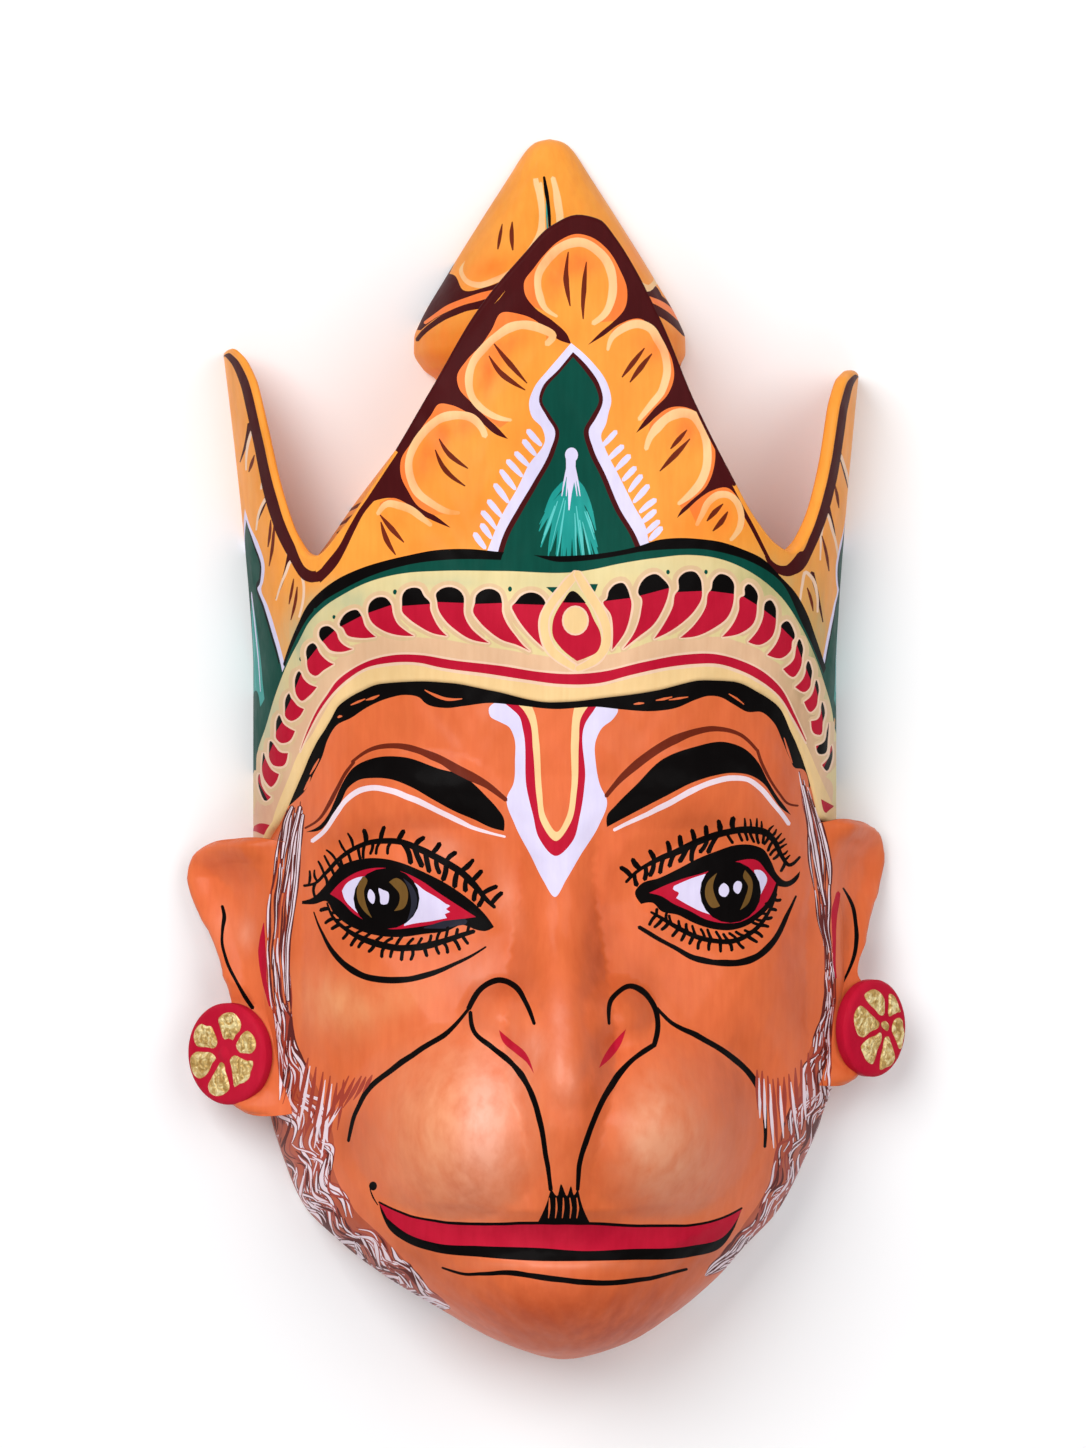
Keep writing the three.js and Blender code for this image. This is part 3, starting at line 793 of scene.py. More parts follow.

# %% [markdown]
# The eyes are almond shapes: crimson at the corners, white, and a black iris with brown crescents and two
# white catchlights, which are painted highlights; the left iris also has a grey painted reflection of the
# varnish at its right side and below it.
# A thick black lid line goes over and under each, and a second, thinner line outside it
# carries the lashes and is joined to the lid by small bars.

# %% Lashes
def lashes(line, count, lengths, leans, width, start=0.02, end=0.98, side=1):
    """Short strokes on one side of a line. Leans are degrees from the line's own normal."""
    curve = smooth_line(line, 1.0)
    share, normal = along(curve), sideways(curve) * side
    for s in np.linspace(start, end, count) + hand.normal(0, 0.006, count):
        i = int(np.clip(np.searchsorted(share, s), 0, len(curve) - 1))
        lean = math.radians(np.interp(s, np.linspace(0, 1, len(leans)), leans) + hand.normal(0, 5))
        length = np.interp(s, np.linspace(0, 1, len(lengths)), lengths) * hand.uniform(0.85, 1.12)
        c, sn = math.cos(lean), math.sin(lean)
        way = np.array([normal[i][0] * c - normal[i][1] * sn, normal[i][0] * sn + normal[i][1] * c])
        curl = np.array([-way[1], way[0]]) * hand.uniform(-0.12, 0.12) * length
        face.stroke("black", width, [curve[i], curve[i] + way * length * 0.5 + curl, curve[i] + way * length])


# %% The left eye
face.area("black",
    [(312, 898), (323, 888), (332, 876), (341, 866), (356, 860), (371, 858), (386, 859), (402, 863),
     (417, 869), (432, 876), (447, 884), (462, 894), (477, 906), (488, 918), (494, 927)],
    [(486, 931), (477, 930), (462, 925), (447, 931), (424, 934), (402, 937), (380, 936), (361, 931),
     (345, 923), (333, 912), (326, 901), (315, 904), (302, 904)], [(302, 901)])
face.area("crimson",
    [(341, 882), (360, 871), (386, 868), (400, 871), (420, 880), (439, 893), (459, 906), (476, 917)],
    [(462, 919), (447, 921), (429, 925), (409, 928), (389, 929), (368, 922), (353, 913), (342, 902),
     (330, 894)])
face.area("lilac_white", [(346, 884), (356, 878), (372, 876)], [(370, 900), (372, 922)],
    [(353, 909), (345, 900), (342, 891)])
face.area("lilac_white", [(415, 883), (424, 890), (436, 897), (446, 904)],
    [(450, 906), (446, 909), (450, 912), (445, 914), (447, 918)], [(432, 921), (412, 924), (404, 926)],
    [(406, 900), (404, 880)])
face.dab("black", (386.5, 898.5), (33, 30.5))
face.area("iris_brown", [(357, 889), (358, 901), (364, 911), (372, 918)],
    [(366, 904), (364, 891), (367, 879), (363, 876)])
face.area("iris_brown", [(396, 878), (405, 884), (408, 897), (404, 908), (394, 911)],
    [(399, 903), (399, 893), (394, 887), (389, 882)])
# Painted reflection: the varnish's grey sheen on the black iris, at its right and along the lid below it.
face.area("grey_black", [(412, 886), (417, 898), (414, 913), (407, 921)],
    [(411, 905), (409, 890), (403, 878)])
# Painted highlights: two white catchlights in the iris.
face.ring("lilac_white", [(370, 889), (374, 893), (375, 899), (373, 904), (370, 902), (367.5, 896)])
face.ring("lilac_white", [(379, 888), (383, 890), (388, 892), (389, 898), (387, 904), (381, 904), (380, 897)])
face.stroke("grey_black", (1, 8, 6), [(424, 928), (445, 925), (465, 921)])
LEFT_LASH_LINE = [(304, 886), (315, 883), (326, 873), (338, 860), (353, 849), (368, 843), (383, 841),
    (401, 842), (417, 848), (432, 855), (447, 863), (462, 873), (477, 888), (486, 899), (495, 907)]
face.stroke("black", (3, 4, 5, 6, 7, 7, 4), LEFT_LASH_LINE)
lashes(LEFT_LASH_LINE, 7, (13, 17, 19), (20, 0, -8), (2.2, 3, 2), 0.02, 0.27, -1)
lashes(LEFT_LASH_LINE, 10, (16, 17, 15, 13, 14, 16, 16, 14), (-4, 2, 10, 18, 20, 16, 10, 5), (4, 5.4, 4.6),
    0.33, 0.99, -1)
lashes(LEFT_LASH_LINE, 11, (13, 13, 12, 16), (25, 20, 5, -8), (3.4, 3.0), 0.06, 0.44)
lashes(LEFT_LASH_LINE, 9, (18, 21, 20, 16, 9), (-22, -32, -38, -34, -20), (5, 5.4), 0.49, 0.93)
LEFT_LOW_LINE = [(327, 903), (333, 917), (344, 928), (359, 937), (374, 943), (392, 947), (411, 948),
    (429, 945), (447, 940), (462, 935), (474, 931)]
face.stroke("black", (2, 4, 6, 7, 7, 6, 4), LEFT_LOW_LINE)
lashes(LEFT_LOW_LINE, 16, (7, 11, 11, 11, 12, 12, 12), (10, 12, 16, 14, 4, -12, -24), (4, 3.4), 0.04, 0.92)
lashes(LEFT_LOW_LINE, 15, (5, 8, 11, 12, 12, 12, 5), (20, 30, 36, 38, 38, 30, 20), (3.4, 3.2), 0.06, 0.95, -1)
face.stroke("black", (1.5, 4, 6.5, 7, 6, 4, 2),
    [(314, 912), (321, 931), (333, 952), (348, 967), (364, 976), (386, 980), (409, 979), (432, 973),
     (455, 964), (470, 957), (486, 947)])
print("marks on the face so far:", len(face.marks))

# %% The right eye
face.area("black",
    [(635, 892), (641, 884), (659, 878), (678, 869), (697, 859), (717, 851), (736, 845), (752, 845),
     (763, 849), (771, 861), (777, 874), (785, 881), (800, 871)], [(799, 877), (787, 887), (778, 886)],
    [(775, 899), (763, 914), (748, 925), (732, 930), (713, 929), (694, 923), (678, 915), (661, 911),
     (653, 903), (641, 904)])
face.area("crimson", [(666, 885), (682, 879), (703, 873), (730, 863), (758, 861), (767, 872), (776, 883)],
    [(767, 902), (756, 913), (740, 922), (723, 923), (705, 919), (690, 911), (674, 904), (661, 896),
     (649, 893)])
face.area("lilac_white", [(690, 879), (712, 872)], [(712, 915)], [(700, 911), (690, 906), (676, 898)],
    [(679, 893), (673, 889), (674, 886)])
face.area("lilac_white", [(760, 870), (767, 878), (763, 890), (752, 906)], [(756, 890), (754, 870)])
face.dab("black", (730.5, 892), (30.5, 31))
face.area("iris_brown", [(707, 883), (706, 899), (713, 908), (720, 906)],
    [(715, 896), (713, 888), (717, 873)])
face.area("iris_brown", [(752, 880), (752, 893), (747, 905), (740, 910)],
    [(745, 898), (748, 886), (743, 876), (745, 870)])
# Painted highlights: two white catchlights in the iris.
face.ring("lilac_white", [(724, 883), (728, 886), (729, 892), (725, 897), (720, 895), (719, 888)])
face.ring("lilac_white", [(737, 881), (741, 882), (741, 890), (738, 894), (734, 891), (734, 884)])
RIGHT_LASH_LINE = [(626, 882), (635, 873), (651, 863), (674, 853), (694, 844), (713, 836), (732, 831),
    (752, 830), (765, 832), (775, 842), (781, 855), (789, 865), (800, 857)]
face.stroke("black", (3, 5, 7, 7, 7, 5, 3), RIGHT_LASH_LINE)
lashes(RIGHT_LASH_LINE, 9, (14, 13, 14, 15, 15), (-16, 12, 16, 14, 10), (4, 5.6, 4.4), 0.03, 0.58, -1)
lashes(RIGHT_LASH_LINE, 11, (14, 12, 13, 12, 10, 8), (8, 4, 0, -4, -10, -16), (2.6, 2.8, 1.6), 0.63, 0.9, -1)
lashes(RIGHT_LASH_LINE, 9, (11, 15, 19, 20, 18), (30, 44, 50, 44, 24), (4.6, 4.8), 0.05, 0.5)
lashes(RIGHT_LASH_LINE, 11, (17, 15, 12, 9), (16, -6, -16, -20), (3.4, 3.0), 0.55, 0.9)
RIGHT_LOW_LINE = [(651, 912), (666, 921), (682, 930), (697, 937), (717, 941), (732, 941), (746, 936),
    (760, 925), (769, 911), (777, 894)]
face.stroke("black", (3, 5, 5, 5, 4, 2), RIGHT_LOW_LINE)
lashes(RIGHT_LOW_LINE, 17, (11, 11, 10, 10, 11, 8, 5), (10, 10, 4, -10, -24, -30, -20), (4, 3.2), 0.02, 0.95)
lashes(RIGHT_LOW_LINE, 17, (6, 9, 11, 11, 10, 8, 5), (-30, -36, -36, -36, -30, -20, -10), (3.2, 3), 0.05,
    0.92, -1)
face.stroke("black", (4, 4, 6, 7, 7, 5, 2),
    [(639, 927), (655, 937), (674, 947), (694, 958), (713, 962), (732, 963), (752, 959), (767, 949),
     (779, 933), (788, 913), (796, 896)])
print("marks on the face so far:", len(face.marks))

# %% [markdown]
# The nose and the cheeks are drawn with single lines of a loaded brush, which swell in the
# middle and run out to a hair. The nostrils are crimson crescents.

# %% Nose, muzzle and mouth
face.stroke("black", (5, 6, 6, 5, 3),
    [(469, 1009), (480, 990), (498, 980), (516, 987), (526, 1003), (534, 1024)])
face.stroke("black", (3, 5, 6, 6, 5, 3),
    [(469, 1009), (450, 1030), (420, 1050), (390, 1071), (369, 1089), (357, 1110), (348, 1141)])
face.stroke("black", (4, 5, 6, 6, 5, 4),
    [(470, 1012), (474, 1032), (492, 1047), (513, 1065), (528, 1086), (540, 1122), (547, 1164), (551, 1190)])
face.stroke("black", (3, 5, 6, 6, 5),
    [(609, 1024), (612, 999), (630, 986), (645, 993), (655, 1008), (658, 1026), (655, 1044)])
face.stroke("black", (5, 6, 6, 6, 4),
    [(655, 1044), (630, 1062), (609, 1089), (591, 1128), (580, 1164), (578, 1190)])
face.stroke("black", (3, 5, 6, 6, 5, 3),
    [(657, 1008), (669, 1021), (696, 1035), (726, 1053), (750, 1074), (762, 1098), (765, 1122), (765, 1147)])
face.area("crimson", [(512, 1041), (525, 1052), (534, 1074)],
    [(527, 1063), (514, 1052), (503, 1042), (499, 1030)])
face.area("crimson", [(612, 1044), (603, 1058), (599, 1068)], [(610, 1059), (620, 1046), (626, 1029)])
face.area("black", [(546, 1205), (537, 1224)], [(565, 1222), (591, 1225)], [(583, 1208), (578, 1188)],
    [(574, 1195), (571, 1186), (567, 1196), (561, 1184), (557, 1196), (551, 1188)])
for x in (549, 556, 563, 570, 577):
    face.stroke("skin", (1, 2, 1), [(x, 1198), (x + 0.6, 1208), (x - 0.4, 1218)])
MOUTH_TOP = [(379, 1203), (405, 1215), (435, 1222), (480, 1225), (540, 1224), (600, 1225), (660, 1227),
    (705, 1224), (729, 1216), (742, 1209)]
MOUTH_MIDDLE = [(738, 1218), (723, 1237), (690, 1246), (630, 1249), (585, 1251), (540, 1248), (480, 1246),
    (435, 1243), (408, 1234), (387, 1218)]
MOUTH_LOW = [(735, 1227), (720, 1248), (690, 1257), (630, 1260), (585, 1261), (540, 1261), (480, 1257),
    (435, 1252), (408, 1243), (390, 1230), (381, 1212)]
for paint_name, low_line in (("black", MOUTH_LOW), ("crimson", MOUTH_MIDDLE)):
    face.area(paint_name, MOUTH_TOP[1:], low_line[:1], low_line[1:], MOUTH_TOP[:1])
face.stroke("black", (2, 3, 3, 3, 2), [(x, y - 1) for x, y in MOUTH_TOP])
face.stroke("black", (2, 4, 6, 6, 5, 3),
    [(442, 1268), (459, 1273), (510, 1273), (555, 1279), (600, 1283), (645, 1279), (687, 1269)])
face.dab("black", (373, 1186), (4, 4.5))
face.stroke("black", (1, 1.6, 1), [(370, 1189), (373, 1197), (378, 1205)])
print("marks on the face so far:", len(face.marks))

# %% [markdown]
# The ground of the face isn't one flat orange. Painted highlights, pale and pinkish, lie on the nose,
# the cheeks, the lobes of the muzzle, beside the left eye and along the lower lip. Painted shade, a
# deeper orange, lies beside the nose and the nostrils, in the folds of the muzzle, at the corners of
# the mouth and down the right side of the face, and the chin is darker towards its bottom.

# %% Painted highlights and painted shade in the ground of the face
PINK_HIGHLIGHT, PAINTED_SHADE, PAINTED_HIGHLIGHT = (242, 158, 128), (176, 74, 34), (247, 186, 164)
CHEEK_HIGHLIGHT, SIDE_SHADE = (232, 150, 100), (196, 84, 44)
# Pink and pale patches are painted highlights; deep orange and brown ones are painted shade.
for patch in (
    ((240, 158, 112), 0.85, (455, 1130), (78, 92), 10), (PINK_HIGHLIGHT, 0.9, (487, 1122), (42, 84), 6),
    (PAINTED_HIGHLIGHT, 0.7, (484, 1112), (22, 50), 6), ((226, 148, 112), 0.9, (670, 1150), (56, 74), -12),
    ((230, 160, 124), 0.6, (648, 1130), (26, 50), 0), ((232, 140, 112), 0.75, (560, 1030), (12, 44), 0),
    (PINK_HIGHLIGHT, 0.55, (566, 1080), (18, 30), 0), (PINK_HIGHLIGHT, 0.5, (536, 1046), (14, 20), 0),
    (PAINTED_SHADE, 0.65, (594, 1080), (17, 70), 12), (PAINTED_SHADE, 0.7, (596, 950), (20, 90), 6),
    (PAINTED_SHADE, 0.5, (640, 990), (34, 24), -20), (PAINTED_SHADE, 0.55, (506, 985), (24, 16), 0),
    (PAINTED_SHADE, 0.4, (470, 985), (26, 34), -20), (PINK_HIGHLIGHT, 0.45, (446, 846), (34, 14), 25),
    (PINK_HIGHLIGHT, 0.5, (508, 898), (12, 38), -10), (PINK_HIGHLIGHT, 0.4, (478, 972), (28, 18), -25),
    (CHEEK_HIGHLIGHT, 0.75, (335, 1004), (46, 34), 20), (CHEEK_HIGHLIGHT, 0.5, (390, 1000), (50, 20), -18),
    (PAINTED_SHADE, 0.45, (355, 1130), (26, 40), 20), (PAINTED_SHADE, 0.45, (735, 1080), (34, 60), 0),
    (SIDE_SHADE, 0.55, (790, 940), (26, 120), 0), (SIDE_SHADE, 0.5, (790, 760), (44, 60), 0),
    ((184, 78, 42), 0.85, (630, 1322), (90, 46), -30), ((188, 78, 40), 0.8, (545, 1318), (120, 44), 4),
    (PAINTED_SHADE, 0.4, (420, 1255), (40, 18), 24), (PAINTED_SHADE, 0.4, (700, 1255), (50, 14), -20),
    (PINK_HIGHLIGHT, 0.5, (555, 1265), (80, 5), 0),
):
    face.tone(*patch)
print("soft patches:", len(face.tones))

# %% [markdown]
# The hair at the temples and the beard are painted, not modelled. A reddish brown ground is laid
# first, then each strand as a brown stroke with a thinner lilac white one on top. The strands
# run straight down in front of the ears and curl outwards along the jaw.

# %% Where the hair grows
LEFT_OUTER = [(287, 806), (277, 847), (269, 900), (267, 950), (270, 999), (276, 1024), (279, 1047),
    (281, 1076), (279, 1099), (272, 1119), (274, 1133), (277, 1148), (282, 1166), (289, 1182), (297, 1202),
    (306, 1218), (318, 1231), (333, 1244), (349, 1260), (367, 1276), (386, 1289), (404, 1298), (424, 1307),
    (438, 1309), (450, 1309)]
LEFT_INNER = [(303, 797), (301, 845), (295, 900), (289, 955), (291, 1001), (295, 1039), (302, 1056),
    (316, 1069), (341, 1086), (372, 1077), (363, 1091), (353, 1105), (342, 1128), (334, 1144), (332, 1160),
    (338, 1182), (345, 1195), (358, 1214), (372, 1227), (384, 1239), (396, 1251), (411, 1267), (425, 1284),
    (438, 1296), (449, 1306)]
LEFT_STRANDS = LEFT_INNER[:7] + [(314, 1080), (326, 1112)] + LEFT_INNER[13:]
RIGHT_OUTER = [(808, 787), (820, 821), (831, 852), (832, 879), (831, 905), (830, 928), (833, 951),
    (834, 980), (834, 1004), (831, 1022), (830, 1040), (830, 1065), (830, 1084), (828, 1096), (825, 1112),
    (821, 1126), (815, 1142), (810, 1158), (804, 1174), (797, 1190), (790, 1204), (779, 1220), (765, 1236),
    (755, 1247), (744, 1256), (731, 1264), (718, 1271), (706, 1276)]
RIGHT_INNER = [(799, 769), (803, 801), (807, 836), (809, 867), (814, 890), (818, 921), (823, 938),
    (824, 959), (825, 998), (822, 1016), (817, 1031), (812, 1043), (804, 1055), (792, 1069), (777, 1078),
    (756, 1069), (760, 1081), (765, 1099), (767, 1119), (771, 1140), (775, 1158), (772, 1174), (766, 1190),
    (759, 1203), (744, 1224), (732, 1242), (720, 1254), (705, 1275)]
RIGHT_STRANDS = RIGHT_INNER[:12] + [(806, 1062), (799, 1085), (788, 1112)] + RIGHT_INNER[20:]


def strand(outer, inner, start, length, across, drift, curl, kind, width, phase=0.0):
    """One strand between two border lines. `start` and `length` are shares of the way down,
    `across` is 0 at the inner border and 1 at the outer one, and `drift` is how far it moves over.
    Strands side by side wave together, as combed hair does."""
    s = np.linspace(0, 1, 9)
    t = start + s * length
    share = across + drift * s + curl * np.sin(t * 74 + across * 2.4 + phase)
    t, share = np.clip(t, 0, 1), np.clip(share, 0.02, 0.98)[:, None]
    points = inner(t) + (outer(t) - inner(t)) * share
    if kind == "white":
        ground = hand.choice(["hair_brown", "hair_red"])
        face.stroke(ground, (1.2, width + 2, width + 2.2, width + 1.6, 1), points)
        face.stroke("lilac_grey", (0.8, width, width * 1.1, width * 0.8, 0.6), points)
    else:
        face.stroke(kind, (0.8, width * 0.9, width, width * 0.8, 0.6), points)


def even_line(points):
    line = smooth_line(points)
    return lambda t: at_shares(line, t)


print("the left hair runs", round(length_of(LEFT_OUTER)), "pixels down")

# %% Paint the hair
hair_from = len(face.marks)
face.area("hair_ground", [(95, -134), (99, -141), (106, -150), (113, -157)], [(113, -88)], [(94, -90)],
    flat=True)
for outline_outer, strands_inner, strip_end in (
    (LEFT_OUTER, LEFT_STRANDS, 7), (RIGHT_OUTER, RIGHT_STRANDS, 12),
):
    outer_line, inner_line = even_line(outline_outer), even_line(strands_inner)
    face.area("hair_ground", outline_outer[strip_end - 1:], strands_inner[-1:],
        strands_inner[-2:strip_end - 3:-1], [outline_outer[strip_end - 2]])
    left_side = outline_outer is LEFT_OUTER
    for kind, lanes in (("hair_red", 5), ("white", 6 if left_side else 4), ("hair_brown", 5)):
        for lane in np.linspace(0.07, 0.93, lanes):
            at = hand.uniform(0.0, 0.03)
            while at < 0.42:
                length = hand.uniform(0.07, 0.15)
                strand(
                    outer_line, inner_line, at, length, lane + hand.normal(0, 0.05), hand.normal(0, 0.07),
                    0.02, kind, hand.uniform(1.2, 2.4 if left_side else 1.8))
                at += length * hand.uniform(0.75, 1.1)
    for at in np.sort(hand.uniform(0.34, 0.95, 200)):
        kind = hand.choice(["white", "white", "hair_red", "hair_brown"])
        broadest = 3.8 if left_side or kind != "white" else 2.2
        strand(
            outer_line, inner_line, at, hand.uniform(0.04, 0.11), hand.uniform(0.0, 1.1) ** 0.8,
            hand.normal(0, 0.1), hand.uniform(0.06, 0.15), kind, hand.uniform(1.2, broadest),
            hand.normal(0, 0.6))
TUFTS = [(308, 1058, 1120), (316, 1067, 1130), (323, 1072, 1140), (330, 1076, 1150), (337, 1083, 1140),
    (344, 1080, 1130), (349, 1076, 1125), (355, 1078, 1115), (361, 1076, 1108), (366, 1077, 1100),
    (372, 1075, 1092), (757, 1070, 1110), (762, 1071, 1120), (768, 1076, 1140), (773, 1079, 1150),
    (778, 1078, 1130), (784, 1077, 1125), (789, 1074, 1120), (795, 1068, 1118), (801, 1060, 1112),
    (808, 1053, 1110)]
for x, top, low in TUFTS:
    lean = (low - top) * (-0.16 if x < PICTURE[0] / 2 else 0.05) + hand.normal(0, 1)
    if 346 < x < 376:
        lean = -(low - top) * 0.55
    points = [(x, top), (x + lean * 0.3, (top * 2 + low) / 3), (x + lean, low)]
    face.stroke("hair_red", (1.2, 3.6, 4.2, 2.6, 0.8), points)
    if hand.random() < 0.45 and not 350 < x < 376:
        face.stroke("lilac_grey", (0.8, 2.6, 3, 1), [(px + 2, py + 8) for px, py in points])
face.area("hair_ground", [(-106, -95), (-104, -120), (-105, -140), (-109, -158)], [(-113, -160)],
    [(-113, -93)], flat=True)
hidden_strands = [(-x, up, -5, 6) for up, x in zip(np.arange(-96, -154, -2.2), hand.uniform(104, 108, 27))]
right_jaw = hand.uniform((92, -140), (110, -93), (150, 2))
hidden_strands += [(x, up, 3, 9) for x, up in right_jaw if x > 97 - 0.5 * (up + 128)]
for x, up, over, down in hidden_strands:
    s = np.linspace(0, 1, 6)
    way = np.column_stack([x + over * s + 0.5 * np.sin(s * 9 + up), up - down * s])
    face.stroke("hair_brown", (0.4, 1.4, 1.6, 0.4), way, flat=True)
    face.stroke("lilac_grey", (0.3, 0.8, 0.9, 0.2), way, flat=True)
for widths, points in (
    ((2, 4, 3.6, 1.5), [(292, 807), (286, 822), (283.7, 840), (281.6, 858)]),
    ((2, 3, 3, 2.4, 1), [(300, 807), (296, 823), (292, 839), (288.6, 864), (283.7, 892)]),
    ((2, 3.6, 3.6, 3.2, 3, 2.4),
     [(302.6, 815), (299, 843), (296.3, 878), (293.5, 902), (288, 938), (287, 970), (288, 1000)]),
    ((2, 4, 4.8, 5, 3, 1), [(803, 786), (808, 812), (813, 840), (818, 868), (822, 892), (825, 905)]),
    ((2, 3.6, 4.4, 3.6, 1), [(815, 808), (820, 826), (825, 846), (829, 866), (830, 884)]),
):
    face.stroke("hair_brown", tuple(w + 3 for w in widths), points)
    face.stroke("lilac_grey", widths, points)
    face.stroke("hair_brown", (0.4, 0.9, 1.2, 0.9, 0.4), [(x - 0.6, y) for x, y in points])
hair_marks = face.marks[hair_from:]
print("marks in the hair:", len(hair_marks))

# %% Paint the hairline
face.area("black",
    [(297, 799), (304, 792), (314, 773), (322, 757), (328, 739), (337, 725), (351, 718), (366, 708),
     (389, 698), (405, 695), (420, 698), (425, 703), (445, 708), (464, 706), (489, 703), (515, 705),
     (553, 709), (600, 707), (618, 709), (656, 711), (676, 708), (695, 700), (708, 696), (720, 697),
     (733, 704), (748, 712), (761, 712), (774, 723), (782, 740), (790, 759), (795, 768), (802, 769),
     (809, 789)],
    [(812, 780), (800, 740), (782, 700), (757, 683), (733, 670), (708, 668), (682, 672), (600, 690),
     (528, 690), (451, 675), (420, 670), (382, 672), (359, 682), (338, 697), (318, 724), (300, 760),
     (286, 800), (289, 806)])
for widths, points in (
    ((1, 3, 3, 1), [(425, 690), (435, 695), (447, 699), (462, 699)]),
    ((2, 2.5, 1), [(338, 717), (342, 716)]), ((1, 2.6, 1), [(351, 705), (358, 702), (365, 699)]),
    ((1, 3, 1), [(366, 700), (372, 698), (379, 695)]), ((1, 2.4, 1), [(319, 759), (315, 766), (310, 774)]),
    ((1, 3, 1), [(304, 790), (308, 783), (310, 777)]), ((1, 2.6, 1), [(634, 704), (644, 703)]),
    ((1, 2.6, 1), [(656, 700), (664, 699), (672, 697)]), ((1, 2.4, 1), [(669, 700), (688, 697)]),
    ((1, 2.4, 1), [(729, 694), (737, 699), (744, 704)]),
    ((1, 2.6, 1), [(784, 738), (788, 750), (792, 763)]),
):
    face.stroke("skin", widths, points)
face.stroke("lilac_grey", (0.5, 1.4, 0.5), [(799, 772), (801, 784), (803, 796)])
print("marks on the face so far:", len(face.marks))

# %% [markdown]
# Each ear has a black line in its hollow and a crimson one at its root. The crimson one is
# painted on the side of the head too, so that it stays whole where the two meet.

# %% Lines of the ears
EAR_LINES = {
    -1: [("black", (3, 4, 2.6, 3, 3.4, 3.4, 3.2, 4.4, 4),
      [(222, 906), (224, 915), (222.5, 929), (222.3, 944), (225.5, 957), (231.5, 972), (239, 986),
       (246, 998), (253, 1008)]),
     ("crimson", (1, 5, 7.5, 7, 5, 4, 1.5),
      [(264, 923), (262.5, 937), (262, 951), (263, 968), (265, 984), (268, 998), (270, 1006)])],
    1: [("black", (2, 3.4, 4, 4.2, 4.2, 4, 3, 2),
      [(843.5, 888), (849, 898), (853, 907), (855.5, 921), (856, 941), (854, 956), (849, 970), (842, 984)]),
     ("crimson", (5, 7, 5, 4, 3.4, 3, 1.5),
      [(838, 893), (837, 899), (835.5, 907), (834.5, 925), (834, 945), (834.5, 962), (836, 978)])],
}
for side in (-1, 1):
    face.stroke(*EAR_LINES[side][1])
print("marks on the face so far:", len(face.marks))

# %% Build the face
def face_outline(step=1.0):
    left, right = face.low[0], face.high[0]
    low, high = face.low[1], face.high[1]
    across, upward = np.arange(left, right, step), np.arange(low, high, step)
    return np.vstack([
        np.column_stack([across, np.full(len(across), low)]),
        np.column_stack([np.full(len(upward), right), upward]),
        np.column_stack([across[::-1] + step * 0.5, np.full(len(across), high)])[1:],
        np.column_stack([np.full(len(upward), left), upward[::-1] + step * 0.5])[1:],
    ])


def face_inside(across, up):
    return head_point(across, np.where(up > 0, up * (HOLLOW_TOP / FACE_TOP), up), WALL)


def plain_edge(rim):
    """The outer side meets the inner one in a sharp edge."""
    return []


face_piece = closed_sheet(face, face_outline(), face_inside, plain_edge, 1.5, "skin", "raw_paper",
    "raw_paper")
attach(face_piece, "root")
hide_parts("mask")

# %% [markdown]
# The band over the forehead and the coronet are one sheet of card and paper, bent round the head.
# Its lower edge follows the hairline and its upper edge makes the front point and the two
# side points. The sheet is unrolled here: `across` runs round it and `up` is the height.

# %% The skin of the crown
CROWN_HALF_WIDTH = 73.4
CROWN_DEPTH = 69.0
CROWN_X = -0.4
CROWN_ROUND = 73.0                         # mm of the unrolled sheet for one radian
CROWN_SHEET = 4.2
CROWN_EDGE = 1.1                           # radius of its rounded edges
LEFT_LEAN, RIGHT_LEAN = 7.4, 6.2
BAND_FOOT = [
    (-90, -27), (-76.7, -25.4), (-72.7, -22.1), (-65.5, -16.2), (-60.3, -9.3), (-56.1, -2.6), (-49.9, 5.5),
    (-47.2, 9.4), (-42.2, 12.4), (-36.7, 14.5), (-28.4, 15), (-22.1, 14.5), (-14.6, 12.8), (-2.5, 9.9),
    (9.9, 11.3), (17.5, 12.6), (28.7, 15.3), (34.7, 15.1), (41.6, 12.4), (47.9, 8.5), (51.3, 3.3),
    (54.7, -1.4), (58, -6.1), (60.8, -11.1), (65.8, -18.6), (90, -23),
]
FLUSH = 22.0                               # mm over which the band sinks to the face at its foot
CORONET_TOP = [
    (-90, 97.6), (-79.5, 97.6), (-72.6, 95.6), (-66.6, 89.5), (-63, 76), (-60.8, 65.4), (-57.6, 55),
    (-55.2, 49.8), (-52.4, 45.6), (-50.2, 45.1), (-42.8, 51.6), (-32.1, 67.6), (-23.2, 85.4), (-15, 103.4),
    (-7, 117), (-2.3, 124), (2.4, 126.8), (6, 125.8), (8.9, 121.4), (17.2, 101.3), (23.8, 82.3),
    (31.9, 64.5), (37.6, 54.4), (43.5, 48), (47.5, 46.4), (50.6, 48.4), (53.8, 53.5), (56.6, 60.4),
    (59.4, 70.5), (61.4, 83.5), (65.6, 90.3), (73, 92.4), (90, 92.4),
]
band_foot, coronet_top = smooth_table(BAND_FOOT), smooth_table(CORONET_TOP)


